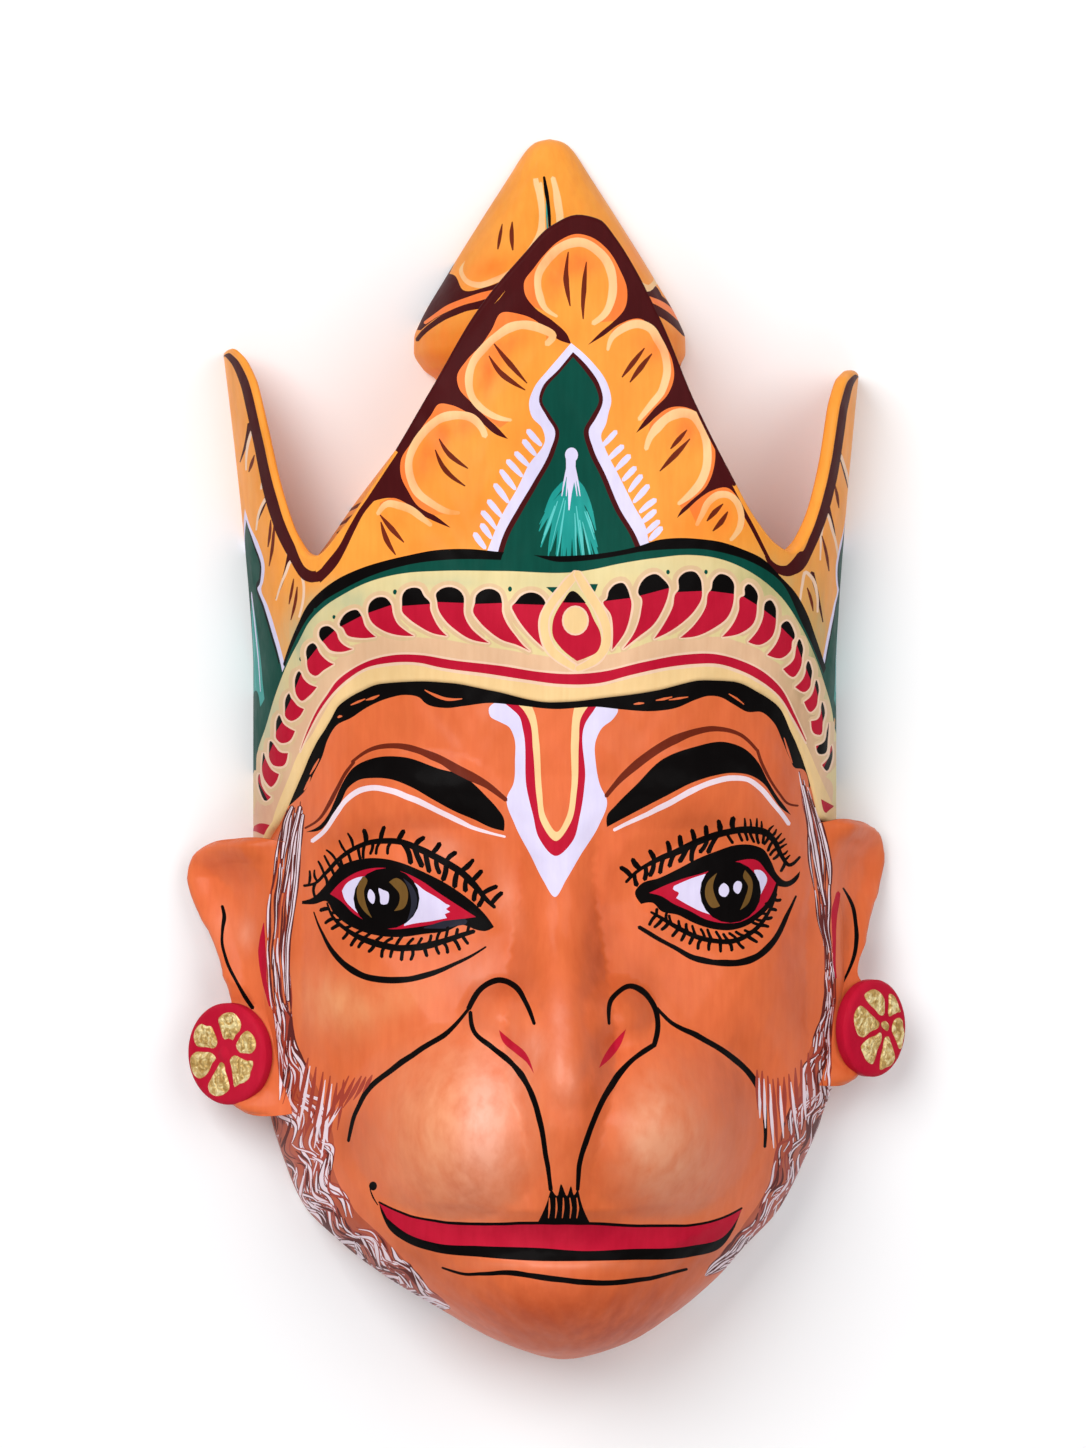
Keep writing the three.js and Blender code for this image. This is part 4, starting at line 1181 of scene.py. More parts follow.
def crown_point(across, up, inset=0.0):
    angle = across / CROWN_ROUND
    lean = np.where(angle < 0, LEFT_LEAN, RIGHT_LEAN) * np.clip((up - 20) / 77, 0, 1.2) ** 1.3
    lumps = 0 if np.any(inset) else hand_made(across, up, 0.12) * np.cos(angle)
    turned = np.abs(np.degrees(angle))
    low = (1 - ramp(up - band_foot(np.degrees(angle)), 0, FLUSH)) * (1 - ramp(turned, 64, 80))
    half_width = CROWN_HALF_WIDTH + lean + (jaw_width(-up) + 0.7 - CROWN_HALF_WIDTH) * low
    depth = CROWN_DEPTH + (jaw_height(-up) + 0.7 - CROWN_DEPTH) * low
    x = CROWN_X * (1 - low) + (half_width - inset + lumps) * np.sin(angle) * boxy(angle)
    z = (depth - inset + lumps) * np.cos(angle) * boxy(angle)
    return np.column_stack([x, up + 0 * across, np.where(np.abs(angle) > math.pi / 2 - 1e-6, 0, z)])


def crown_outline(step=1.0):
    """The sheet's border, drawn in by the radius of its edge."""
    angles = np.radians(np.linspace(-90, 90, 720))
    foot = np.column_stack([angles * CROWN_ROUND, band_foot(np.degrees(angles))])
    top = np.column_stack([angles * CROWN_ROUND, coronet_top(np.degrees(angles)) + 0.77])[::-1]
    sides = []
    for border in (foot, top):
        line = border + sideways(border) * CROWN_EDGE
        line[[0, -1], 0] = border[[0, -1], 0]
        line = at_shares(line, np.linspace(0, 1, int(length_of(line) / step)))
        sides.append(np.clip(line, [foot[0, 0], -99], [foot[-1, 0], 199]))
    joins = []
    for start, end in ((sides[0][-1], sides[1][0]), (sides[1][-1], sides[0][0])):
        t = np.linspace(0, 1, int(np.linalg.norm(end - start) / step), endpoint=False)[1:, None]
        joins.append(start + (end - start) * t)
    return np.vstack([sides[0], joins[0], sides[1], joins[1]])


def outward(rim, reach=0.8):
    """Which way the border faces, in the unrolled sheet."""
    loop = np.vstack([rim, rim[:1]])
    run = np.append(0, np.cumsum(np.linalg.norm(np.diff(loop, axis=0), axis=1)))
    ahead = np.column_stack([np.interp((run[:-1] + reach) % run[-1], run, loop[:, k]) for k in (0, 1)])
    behind = np.column_stack([np.interp((run[:-1] - reach) % run[-1], run, loop[:, k]) for k in (0, 1)])
    step = ahead - behind
    step /= np.linalg.norm(step, axis=1)[:, None]
    return np.column_stack([step[:, 1], -step[:, 0]])


def rounded_edge(skin, sheet, radius, side):
    """Rows of points that round the outer edge of a sheet, cross it and round the inner edge. The
    border isn't rounded where the sheet stands on the table, at `side`."""
    def rows(rim):
        way, thick = outward(rim), sheet(*rim.T)
        on_table = np.abs(rim[:, 0]) > side - 0.01
        top, low = rim[:, 1] > rim[on_table, 1].max() - 0.01, rim[:, 1] < rim[on_table, 1].min() + 0.01
        way[on_table] = 0
        way[on_table & top] = [0, 1]
        way[on_table & low] = [0, -1]
        found = []
        for turn in (30, 60, 90):
            a = math.radians(turn)
            found.append((math.sin(a), radius * (1 - math.cos(a))))
        found += [(1, thick / 2)] + [(share, thick - inset) for share, inset in found[::-1]]
        return [skin(*(rim + way * radius * share).T, inset) for share, inset in found]
    return rows


CROWN_SIDE = CROWN_ROUND * math.pi / 2
crown = Canvas("crown", crown_point, (-CROWN_SIDE, -30), (CROWN_SIDE, 130))
print("the crown's sheet, unrolled, is", round(2 * CROWN_SIDE), "mm long")

# %% [markdown]
# The front point is laid out as a field of ochre inside a maroon border. The border sends
# tapered tongues inwards, which part the petals. Every petal has a darker rim, a pale stroke
# round it and two short brown strokes in it.

# %% Paint the front point
crown.area("maroon",
    [(324, 565), (339, 546), (348, 529), (366, 498), (389, 458), (404, 430), (419, 407), (434, 386),
     (446, 371), (467, 340), (484, 314), (500, 298), (515, 275), (551, 228), (563, 220), (580, 216),
     (599, 220), (610, 229.5), (618, 243), (630, 268), (641, 293), (656, 319), (677, 360), (700, 407),
     (713, 437), (728, 476), (742, 504), (754, 526), (768, 554), (780, 577)],
    [(700, 600), (560, 600), (400, 600), (330, 594), (319, 581), (315, 577)])
crown.area("ochre", [(337, 565), (346, 549), (354.5, 531), (365.5, 511), (374, 501)],
    [(391, 498), (409, 505), (422, 515), (436, 522), (451, 528)],
    [(434, 515), (418, 506), (408, 491), (401, 476), (401, 460), (412, 442), (431, 415), (439, 404)],
    [(451, 405), (468, 413), (482, 423), (495, 434), (508, 439)],
    [(497, 427), (486, 417), (471, 402), (459, 388), (457, 377), (467, 360), (482, 344), (492, 329),
     (501, 313)], [(519, 314), (533, 319), (545, 329), (559, 340), (571, 344)],
    [(568, 336), (553, 321), (534, 307), (525, 294), (524, 283), (534, 268), (545, 254), (559, 241),
     (576, 234), (591, 237), (607, 249), (620, 270), (627, 289), (625, 308), (614, 321), (601, 332),
     (588, 345)], [(603, 336), (622, 323), (641, 319)],
    [(652, 327), (662, 340), (672, 360), (674, 377), (668, 394), (654, 409), (644, 421), (636, 433)],
    [(647, 425), (658, 415), (669, 408), (684, 407)],
    [(699, 414), (709, 431), (715, 449), (714, 467), (706, 487), (692, 500), (682, 509), (677, 518)],
    [(689, 508), (700, 498), (711, 491), (728, 488)],
    [(737, 497), (742, 512), (751, 529), (765, 556), (777, 579)],
    [(700, 590), (560, 590), (400, 590), (326, 598), (320, 583)])
FRONT_FROM, FRONT_TO = -29.8, 32.5          # degrees round the head, the width of the front point
angles = np.linspace(FRONT_FROM, FRONT_TO, 120)
front_border = np.column_stack([np.radians(angles) * CROWN_ROUND, coronet_top(angles) - 0.2])
crown.stroke("maroon", 3.4, front_border, flat=True)
print("marks on the crown so far:", len(crown.marks))

# %% Paint the petals
def petal(rim, stroke, widths, veins):
    """One petal: its rim of darker orange, the pale stroke, and the veins."""
    crown.area("orange", rim[1:], stroke[-1:], stroke[-2::-1], rim[:1])
    crown.stroke("peach", widths, stroke)
    for vein in veins:
        crown.stroke("brown", (1.2, 4, 5.5, 4, 1.2), vein)


petal([(534, 307), (525, 294), (524, 283), (534, 268), (545, 254), (559, 241), (576, 234), (591, 237),
     (607, 249), (620, 270), (627, 289), (625, 308), (614, 321)],
    [(557, 316), (545, 308), (539, 293), (539, 275), (547, 260), (561, 247), (578, 242), (593, 247),
     (607, 262), (613, 281), (612, 298), (605, 314), (593, 323)], (3, 7, 8, 9, 9, 9, 9, 8, 5),
    [[(568, 252), (566, 273), (570, 306)], [(586.5, 262), (584, 283), (583, 319)]])
petal([(545, 329), (533, 319), (519, 314), (501, 313), (492, 329), (482, 344), (467, 360), (457, 377),
     (459, 388), (471, 402), (486, 417), (500, 428)],
    [(547, 344), (553, 336), (542, 329), (526, 325), (511, 327), (496, 337), (482, 350), (473, 363),
     (469, 379), (471, 394), (480, 407), (496, 417), (511, 420)], (6, 8, 9, 9, 8, 8, 8, 7, 7, 6, 3),
    [[(494, 344), (507, 360), (527, 383)], [(489, 356), (501, 373), (525, 390)]])
petal([(612, 330), (622, 323), (641, 319), (652, 327), (662, 340), (672, 360), (674, 377), (668, 394),
     (654, 409), (644, 421)],
    [(608, 350), (612, 338), (624, 328), (639, 324), (651, 329), (658, 340), (666, 358), (667, 373),
     (662, 390), (651, 405), (639, 419)], (3, 8, 8, 8, 8, 8, 7, 4),
    [[(644, 348), (634, 361), (622, 377)], [(652, 354), (641, 367), (630, 382)]])
petal([(482, 423), (468, 413), (451, 405), (439, 404), (431, 415), (412, 442), (401, 460), (401, 476),
     (408, 491), (418, 506), (434, 515)],
    [(485, 436), (482, 428), (472, 418), (459, 415), (444, 417), (428, 428), (414, 446), (409, 461),
     (410, 476), (417, 492), (431, 503), (449, 512), (459, 513)], (6, 8, 9, 9, 8, 8, 8, 8, 7, 7, 3),
    [[(439, 439), (446, 451), (468, 468)], [(435, 450), (444, 468), (465, 486)]])
petal([(650, 424), (658, 415), (669, 408), (684, 407), (699, 414), (709, 431), (715, 449), (714, 467),
     (706, 487), (692, 500), (682, 509)],
    [(646, 449), (650, 438), (658, 427), (669, 417), (683, 413), (695, 417), (702, 428), (707, 446),
     (707, 463), (702, 480), (692, 493), (679, 504)], (4, 9, 9, 9, 8, 8, 8, 4),
    [[(687, 430), (679, 439), (671, 449)], [(690, 439), (676, 454), (660, 471)]])
petal([(380, 503), (391, 498), (409, 505), (422, 515)],
    [(378, 514), (388, 504), (398, 505), (411, 510), (421, 517), (431, 525)], (4, 7, 8, 7, 4),
    [[(380, 515), (390, 527), (404, 542)], [(381, 522), (388, 543), (395, 555)]])
petal([(689, 508), (700, 498), (711, 491), (728, 488), (737, 497), (742, 512), (745, 526)],
    [(697, 525), (702, 514), (709, 502), (719, 495), (728, 495), (737, 502), (741, 515), (740, 526),
     (731, 540)], (4, 7, 7, 7, 7, 4),
    [[(723, 504), (715, 512), (707, 521)], [(728, 512), (721, 522), (713, 531)]])
DEEP_ORANGE, FULL_ORANGE = (252, 118, 48), (252, 138, 48)
for patch in (
    (DEEP_ORANGE, 0.95, (572, 262), (38, 18), 0), (DEEP_ORANGE, 0.7, (553, 280), (12, 26), 8),
    (DEEP_ORANGE, 0.9, (488, 372), (14, 34), 28), (DEEP_ORANGE, 0.7, (505, 345), (30, 12), -25),
    (DEEP_ORANGE, 0.75, (652, 348), (22, 16), 30), (DEEP_ORANGE, 0.9, (428, 455), (14, 36), 25),
    (DEEP_ORANGE, 0.8, (450, 430), (34, 12), -22), (DEEP_ORANGE, 0.75, (690, 430), (20, 22), 20),
    (FULL_ORANGE, 0.9, (470, 515), (60, 24), -8), (FULL_ORANGE, 0.8, (430, 545), (50, 14), -10),
    (FULL_ORANGE, 0.8, (395, 520), (22, 20), 0), (FULL_ORANGE, 0.8, (722, 515), (22, 20), 20),
    (FULL_ORANGE, 0.6, (690, 530), (40, 20), 10), (FULL_ORANGE, 0.5, (570, 335), (40, 20), 0),
    (FULL_ORANGE, 0.5, (520, 440), (26, 30), 0), (FULL_ORANGE, 0.4, (620, 410), (24, 40), 0),
):
    crown.tone(*patch)
print("marks on the crown so far:", len(crown.marks))

# %% [markdown]
# The middle of the front point holds a dark green plume: a diamond on a tall triangle, with a
# lilac border, a maroon line inside it, and a comb of short lilac strokes at both sides. The teal
# feathers are single strokes that fan out from the white head.

# %% Paint the plume
crown.area("lilac_white",
    [(560, 356), (548, 370), (534, 388), (529, 404), (532, 417), (542, 428), (545, 438), (528, 466),
     (518, 487), (502, 515), (488, 549), (485, 557)], [(560, 570), (655, 560), (648, 540)],
    [(647, 532), (633, 504), (619, 476), (605, 448), (601, 436), (606, 424), (609, 411), (611, 404),
     (607, 383), (593, 363), (582, 352), (571, 343)])
crown.area("maroon",
    [(559, 369), (542, 388), (539, 400), (547, 417), (555, 431), (550, 451), (533, 483), (518, 508),
     (503, 536), (496, 560)], [(560, 575), (644, 556)],
    [(636, 536), (620, 509), (606, 476), (593, 448), (589, 430), (596, 418), (603, 400), (600, 386),
     (588, 367), (573, 352)])
crown.area("green",
    [(561, 371), (545, 390), (542, 400), (550, 415), (559, 431), (555, 451), (538, 484), (523, 510),
     (508, 538), (501, 562)], [(560, 575), (639, 558)],
    [(631, 537), (615, 510), (601, 477), (588, 449), (584, 430), (591, 417), (599, 400), (596, 388),
     (585, 371), (573, 357)])
COMB = [((541, 445), (528, 431)), ((535, 455), (524, 441)), ((529, 466), (516, 453)),
    ((522, 476), (508, 461)), ((515, 489), (501, 471)), ((508, 502), (495, 485)), ((502, 517), (489, 501)),
    ((496, 529), (483, 512)), ((491, 538), (482, 525)), ((485, 548), (475, 534)), ((602, 446), (616, 432)),
    ((609, 459), (622, 446)), ((616, 470), (629, 456)), ((623, 480), (635, 468)), ((629, 491), (641, 476)),
    ((634, 502), (648, 486)), ((640, 512), (655, 500)), ((641, 523), (655, 511)), ((646, 533), (658, 521)),
    ((650, 540), (661, 528))]
for base, tip in COMB:
    crown.stroke("lilac_white", (3.4, 5.6, 6.4, 5),
        [base, ((base[0] + tip[0]) / 2, (base[1] + tip[1]) / 2), tip])
FEATHERS = [(539, 531), (541, 547), (548, 556), (556, 567), (563, 571), (569, 572), (575, 571), (584, 570),
    (592, 567), (598, 562), (597, 547), (596, 530), (593, 516), (590, 503), (545, 512), (552, 498)]
for tip in FEATHERS:
    start = (570.5 + hand.normal(0, 1), min(470 + hand.uniform(0, 22), tip[1] - 20))
    bow = ((start[0] + tip[0]) / 2 + (tip[0] - 571) * 0.12, (start[1] + tip[1]) / 2)
    crown.stroke("teal", (3, 6, 6.5, 4, 1.2), [start, bow, tip])
for tip in FEATHERS[:13]:
    for _ in range(2):
        share = hand.uniform(0.25, 0.55)
        end = hand.uniform(0.8, 0.98)
        side = hand.normal(0, 1.6)
        along_it = (share, (share + end) / 2, end)
        points = [(570.5 + (tip[0] - 570.5) * s + side, 470 + (tip[1] - 470) * s) for s in along_it]
        crown.stroke(hand.choice(["pale_teal", "teal", "teal"]), (0.8, 1.8, 0.8), points)
crown.dab("lilac_white", (571.5, 455), (6.5, 7.5))
crown.stroke("lilac_white", (11, 9, 4, 1), [(571, 456), (571, 473), (570, 490), (569, 510)])
for dx in (-9, -5, 6, 9):
    crown.stroke("lilac_white", (3, 2, 0.8), [(571 + dx * 0.3, 466), (571 + dx * 0.7, 480), (571 + dx, 496)])
print("marks on the crown so far:", len(crown.marks))

# %% [markdown]
# The side points carry the same petals and half of a plume each. They are bent so far back that
# only their front edges face the camera.

# %% Paint the side points
for paint_name, widths, lines in (
    ("maroon", (5, 3, 1),
     ([(250, 424), (246, 443), (240, 462)], [(269, 487), (264, 504), (257, 522)],
      [(290, 554), (284, 576), (276, 599)], [(837, 446), (843, 466), (848, 488)],
      [(827, 504), (832, 522), (836, 543)], [(812, 573), (818, 597), (823, 622)])),
    ("pink_cream", (1.5, 3, 3, 2),
     ([(246, 470), (249, 440), (252, 431), (260, 455), (263, 470), (261, 489)],
      [(256, 530), (263, 503), (269, 495), (279, 515), (285, 535), (287, 554)],
      [(276, 600), (286, 572), (292, 561), (299, 569), (303, 580), (299, 617)],
      [(834, 480), (836, 462), (839, 454), (845, 468), (849, 486)],
      [(820, 560), (823, 525), (826, 514), (833, 532), (838, 556)],
      [(800, 606), (802, 586), (806, 572), (812, 578), (817, 594), (818, 612)])),
    ("brown", (1, 3, 3, 1),
     ([(254, 455), (252, 463), (249, 472)], [(271, 520), (270, 533), (268, 547)],
      [(275, 520), (273, 542), (269, 566)], [(294, 579), (292, 591), (289, 604)],
      [(297, 587), (295, 603), (291, 620)], [(835, 485), (837, 496), (839, 508)],
      [(822, 536), (826, 553), (829, 571)], [(807, 588), (811, 599), (813, 611)])),
):
    for line in lines:
        crown.stroke(paint_name, widths, line)
for valley, tip, widths in (
    (-49.5, -85, (3.8, 4.6, 4.4, 3.4, 3, 2.6, 2.3, 2.1, 1.9, 1.7)),
    (48, 85, (3.4, 4.8, 5, 4, 3.2, 2.8, 2.5, 2.3, 2.1, 1.9)),
):
    angles = np.linspace(valley, tip, 90)
    border = np.column_stack([np.radians(angles) * CROWN_ROUND, coronet_top(angles)])
    seen_width = np.interp(np.linspace(0, 1, 90), np.linspace(0, 1, len(widths)), widths)
    steep = ramp(np.abs(angles), 50, 62)
    shift = np.minimum(seen_width / np.cos(np.radians(np.abs(angles))), 15) * np.sign(tip)
    inner = border + np.column_stack([shift * steep, -seen_width * 1.3 * (1 - steep) - 0.6])
    border[:, 1] += 1.5 - (4.5 if tip < 0 else 3.0) * (1 - steep)
    crown.area("maroon", border[1:], inner[-1:], inner[-2::-1], border[:1], flat=True)
crown.stroke("maroon", (6, 9, 10, 9, 6), [(303, 570), (310, 576), (317, 577), (323, 573), (329, 565)])
crown.stroke("maroon", (3, 6, 9, 12, 13, 12),
    [(766, 556), (771, 563.5), (779, 569.5), (789, 570.5), (797, 565), (804, 555)])
for s in (-1, 1):
    d = CROWN_ROUND * math.pi / 180 * s
    half_plume = [(80.5, 55.5), (74, 49), (70.6, 43.7), (72, 40.5), (75, 38.8), (71, 34), (66.5, 26),
        (63.5, 19.7), (60.5, 11)]
    lilac_edge = [(81, 58.6), (76, 53.5), (71, 49), (68.6, 43.7), (70.2, 40), (72, 38.4), (68.6, 34),
        (64.4, 26), (61.6, 19), (60, 13)]
    for paint_name, edge_line in (("lilac_white", lilac_edge), ("green", half_plume)):
        top = edge_line[0][1]
        crown.area(paint_name, [(a * d, y) for a, y in edge_line[1:]], [(75 * d, 6), (90 * d, 6)],
            [(90 * d, top - 8), (80.6 * d, top)], first=(edge_line[0][0] * d, top), flat=True)
    crown.stroke("black", (0.6, 1.4, 1.4, 0.6), [(a * d + 0.9 * s, y) for a, y in half_plume[:-1]], flat=True)
    crown.area("teal", [(79 * d, 30), (76 * d, 20), (73 * d, 11)], [(80 * d, 8), (90 * d, 11)],
        [(89 * d, 22), (86 * d, 32), (82 * d, 38)], flat=True)
    crown.stroke("lilac_white", (2.6, 2, 1.4, 0.6),
        [(82.5 * d, 37), (81 * d, 30), (79 * d, 22), (76.5 * d, 13)], flat=True)
    crown.stroke("pale_teal", (1, 1.2, 0.5), [(85 * d, 33), (85 * d, 24), (83 * d, 14)], flat=True)
print("marks on the crown so far:", len(crown.marks))

# %% [markdown]
# Below the points runs the band: a black line, a dark green stripe, and a pale ground with a row
# of arches, black above and crimson below. The arches lean away from the medallion in the middle
# and get smaller towards the ears. On the sides, where the photograph doesn't reach, the marks are
# given on the unrolled sheet instead.

# %% Paint the band's ground
for s in (-1, 1):
    crown.area("green", [(s * 100, 12), (s * 96, -8), (s * CROWN_SIDE, -12)], [(s * CROWN_SIDE, 12)],
        flat=True)
    crown.area("pale_green", [(s * 96, -9), (s * 96, -30), (s * CROWN_SIDE, -30)], [(s * CROWN_SIDE, -11)],
        flat=True)
crown.area("black",
    [(290, 643), (298, 624), (307, 606), (321, 591), (336, 580), (359, 569), (388, 560), (405, 556),
     (437, 550), (469, 549), (501, 552), (560, 556), (639, 546), (658, 540), (679, 538), (700, 539),
     (721, 542), (742, 549), (763, 559), (781, 577), (795, 592), (806, 611), (816, 638), (826, 668)],
    [(815, 690), (700, 640), (560, 640), (400, 640), (300, 690), (283, 664)])
crown.area("green",
    [(284, 668), (290, 652), (299, 633), (310, 615), (324, 601), (344, 589), (366, 578), (412, 564),
     (444, 560), (501, 560)], [(502, 556), (560, 562), (639, 552)],
    [(658, 550), (679, 549), (700, 549), (728, 554), (749, 561), (780, 581), (801, 621), (816, 654),
     (824, 675), (832, 700)],
    [(834, 735), (815, 700), (700, 640), (560, 640), (400, 640), (300, 690), (256, 774), (262, 712)])
crown.area("pale_green",
    [(258, 750), (265, 729), (276, 693), (290, 658), (299, 641), (310, 621), (324, 607), (344, 594),
     (366, 583), (389, 576), (406, 573), (438, 571), (502, 571), (580, 571.5), (595, 569), (618, 564),
     (656, 558), (688, 555), (720, 559), (752, 573), (782, 598), (799, 623), (815, 656), (824, 682),
     (832, 711), (834, 726)],
    [(834, 830), (826, 830), (812, 800), (700, 720), (400, 720), (265, 850), (250, 840), (256, 774)])
BEIGE_STRIP = [(259, 812), (270, 786), (285, 760), (296, 738), (308, 715), (324, 686), (341, 665),
    (362, 651), (390, 643), (420, 645), (455, 650), (489, 656), (530, 663), (577, 668), (620, 661),
    (660, 649), (700, 644), (740, 650), (768, 665), (792, 690), (806, 715), (814, 742), (822, 775)]
crown.area("beige", BEIGE_STRIP[1:],
    [(830, 780), (832, 803), (820, 830), (700, 720), (400, 720), (270, 860), (245, 845), (250, 815),
     BEIGE_STRIP[0]])
crown.stroke("beige", (12, 15, 17, 17, 18, 17, 17, 15, 12), BEIGE_STRIP)
GREEN_DOTS = [(510, 589, 2), (395, 592, 2), (334, 617, 1.6), (315, 610, 1.4), (301, 659, 1.8),
    (291, 682, 1.6), (281, 707, 1.6), (272, 731, 1.6), (265, 748, 1.4), (668, 572, 1.8), (706, 572, 1.8),
    (734, 579, 1.6)]
for x, y, size in GREEN_DOTS:
    crown.dab("green", (x, y), (size, size * 1.3))
for corners in ([(546, 587), (561, 587), (554, 594)], [(588, 584), (598, 584), (595, 592)]):
    crown.area("green", corners[1:2], corners[2:], corners[:1])
print("marks on the crown so far:", len(crown.marks))

# %% Paint the arches
# Each arch: its tail, up the left side to the crimson's edge, over the black top, down the right side.
ARCHES = [
    ([(545, 649), (533, 638), (522, 625), (515, 614), (512, 606)],
     [(515, 603), (521, 596), (529, 592.5), (538, 594), (544, 599.5), (546, 604)],
     [(548, 608), (542, 619), (541, 630), (543, 642)]),
    ([(530, 651), (517, 645), (502, 640), (489, 631), (479, 621), (473, 611)],
     [(475, 603), (476, 596), (483, 590), (492, 589), (499, 593), (502, 602)],
     [(502, 611), (507, 624), (515, 635), (526, 648)]),
    ([(489, 643), (470, 639), (457, 631), (445, 620), (438, 608)],
     [(437, 601), (436, 594), (441, 589), (451, 587), (460, 591), (464, 598), (464, 602)],
     [(464, 614), (471, 628), (482, 638)]),
    ([(447, 636), (432, 633), (419, 626), (408, 618), (402, 611)],
     [(402, 605), (403, 594), (406, 590), (420, 589), (424, 596), (430, 603)],
     [(430, 608), (433, 617), (440, 629)]),
    ([(414, 636), (397, 635), (382, 630), (371, 621)],
     [(368, 612), (370, 603), (377, 597.5), (385, 597.5), (391, 604)], [(393, 614), (397, 623), (406, 631)]),
    ([(376, 637), (359, 638), (347, 635), (342, 627)],
     [(340, 626), (342, 618), (350, 611), (357, 610), (361, 615)], [(362, 617), (365, 626), (371, 633)]),
    ([(353, 649), (340, 652), (330, 650), (324, 643)],
     [(322, 641), (319, 635), (321, 628), (328, 626), (334, 630)], [(336, 632), (339, 640), (347, 647)]),
    ([(334, 664), (324, 670), (315, 676), (310, 673), (307, 664)],
     [(307, 660), (306, 652), (308, 646), (313, 643), (317, 647)], [(318, 650), (324, 658), (331, 663)]),
    ([(317, 687), (308, 697), (302, 701), (296, 694)], [(295, 688), (296, 676), (299, 671), (301, 673)],
     [(302, 676), (309, 684)]),
    ([(304, 709), (298, 718), (291, 721), (285, 716)], [(285, 711), (286, 698), (289, 693), (291, 698)],
     [(292, 699), (298, 706)]),
    ([(295, 731), (288, 742), (281, 743), (276, 738)], [(276, 731), (277, 719), (279, 715), (282, 721)],
     [(283, 723), (289, 728)]),
    ([(288, 753), (283, 766), (273, 765), (269, 757)], [(269, 753), (271, 741), (273, 743)],
     [(275, 746), (280, 752)]),
    ([(279, 774), (276, 782), (271, 787), (266, 782), (262, 771)], [(262, 766), (264, 753), (265, 757)],
     [(267, 762), (273, 771)]),
    ([(271, 797), (266, 801), (260, 791), (258, 781)], [(258, 777), (259, 774)], [(262, 786), (267, 794)]),
    ([(612, 650), (613, 632), (611, 615), (604, 601)],
     [(606, 600), (609, 591), (616, 584), (623, 583), (628, 590), (630, 597)],
     [(631, 600), (630, 616), (625, 632), (617, 644)]),
    ([(623, 649), (636, 629), (641, 611), (641, 597)],
     [(639, 595), (641, 583), (648, 576), (656, 574), (663, 579), (669, 587)],
     [(668, 595), (663, 609), (654, 624), (637, 638)]),
    ([(654, 639), (664, 624), (673, 606), (676, 593)],
     [(678, 591), (679, 578), (686, 572), (695, 572), (700, 578), (702, 590)],
     [(702, 596), (695, 610), (682, 623), (667, 633)]),
    ([(680, 638), (695, 624), (706, 606), (709, 592)],
     [(711, 590), (713, 581), (720, 574), (728, 576), (734, 584), (734, 593)],
     [(734, 596), (727, 618), (714, 628), (697, 636)]),
    ([(722, 637), (733, 624), (739, 610), (741, 597)],
     [(744, 596), (745, 587), (748, 584), (755, 589), (758, 596), (757, 604)],
     [(757, 606), (753, 624), (741, 633)]),
    ([(748, 642), (759, 628), (764, 611)], [(764, 609), (766, 602), (770, 600), (775, 606), (776, 618)],
     [(776, 621), (771, 638), (759, 645)]),
    ([(767, 655), (777, 642), (781, 628)], [(781, 626), (787, 621), (793, 629), (794, 639)],
     [(793, 640), (791, 650), (782, 658)]),
    ([(783, 669), (794, 659), (796, 648)], [(797, 644), (799, 639), (803, 648), (802, 658)],
     [(802, 660), (799, 671), (794, 677)]),
    ([(795, 687), (803, 679), (806, 669)], [(806, 667), (808, 661), (812, 671), (811, 680)],
     [(810, 687), (805, 692)]),
    ([(804, 702), (811, 696), (814, 689)], [(815, 684), (816, 680), (819, 690), (818, 696)],
     [(816, 707), (811, 712)]),
    ([(811, 721), (818, 719), (821, 711)], [(821, 707), (822, 702), (825, 713), (823, 721)],
     [(820, 735), (815, 734)]),
    ([(816, 746), (824, 742), (827, 730)], [(828, 726), (828.5, 723)], [(828, 738), (824, 754), (819, 754)]),
    ([(822, 765), (829, 757), (831, 746)], [(831.5, 745), (832, 747)], [(831, 763), (827, 771)]),
]
for left, top, right in ARCHES:
    crown.stroke("ring_beige", (8, 11, 12, 12, 8), left + top + right)
    crown.stroke("pale_green", (1, 1.6, 1.6, 1), left + top[:1])
for number, (left, top, right) in enumerate(ARCHES):
    whole = left + top + right + left[:1]
    middle = np.mean(top, axis=0)
    tail = np.array(left[0], float)
    below = tail + 1.5 * (tail - middle)
    a, b = np.array(top[0], float) + [0, 1], np.array(top[-1], float) + [0, 1]
    wide = (b - a) * 0.6
    crown.stroke("pink_cream", (3, 4, 4, 4, 3), whole)
    crown.area(REGION, whole[1:], within=number)
    crown.area("black", whole[1:])
    crown.area("crimson", [b + wide], [below + wide * 5], [below - wide * 5], [a - wide], within=number)
for patch in (
    ((176, 180, 148), 0.8, (268, 720), (22, 60)), ((168, 176, 140), 0.8, (305, 640), (26, 40)),
    ((184, 186, 146), 0.7, (350, 600), (40, 20)), ((190, 190, 150), 0.6, (440, 582), (50, 10)),
    ((206, 198, 150), 0.5, (540, 582), (60, 10)), ((206, 198, 150), 0.4, (640, 568), (50, 10)),
    ((176, 170, 116), 0.8, (760, 585), (40, 30)), ((160, 162, 110), 0.85, (810, 660), (26, 80)),
    ((196, 150, 118), 0.7, (800, 715), (24, 50)), ((206, 150, 124), 0.7, (268, 800), (24, 40)),
    ((214, 166, 136), 0.5, (300, 725), (20, 50)),
):
    crown.tone(*patch)
print("arches:", len(ARCHES))

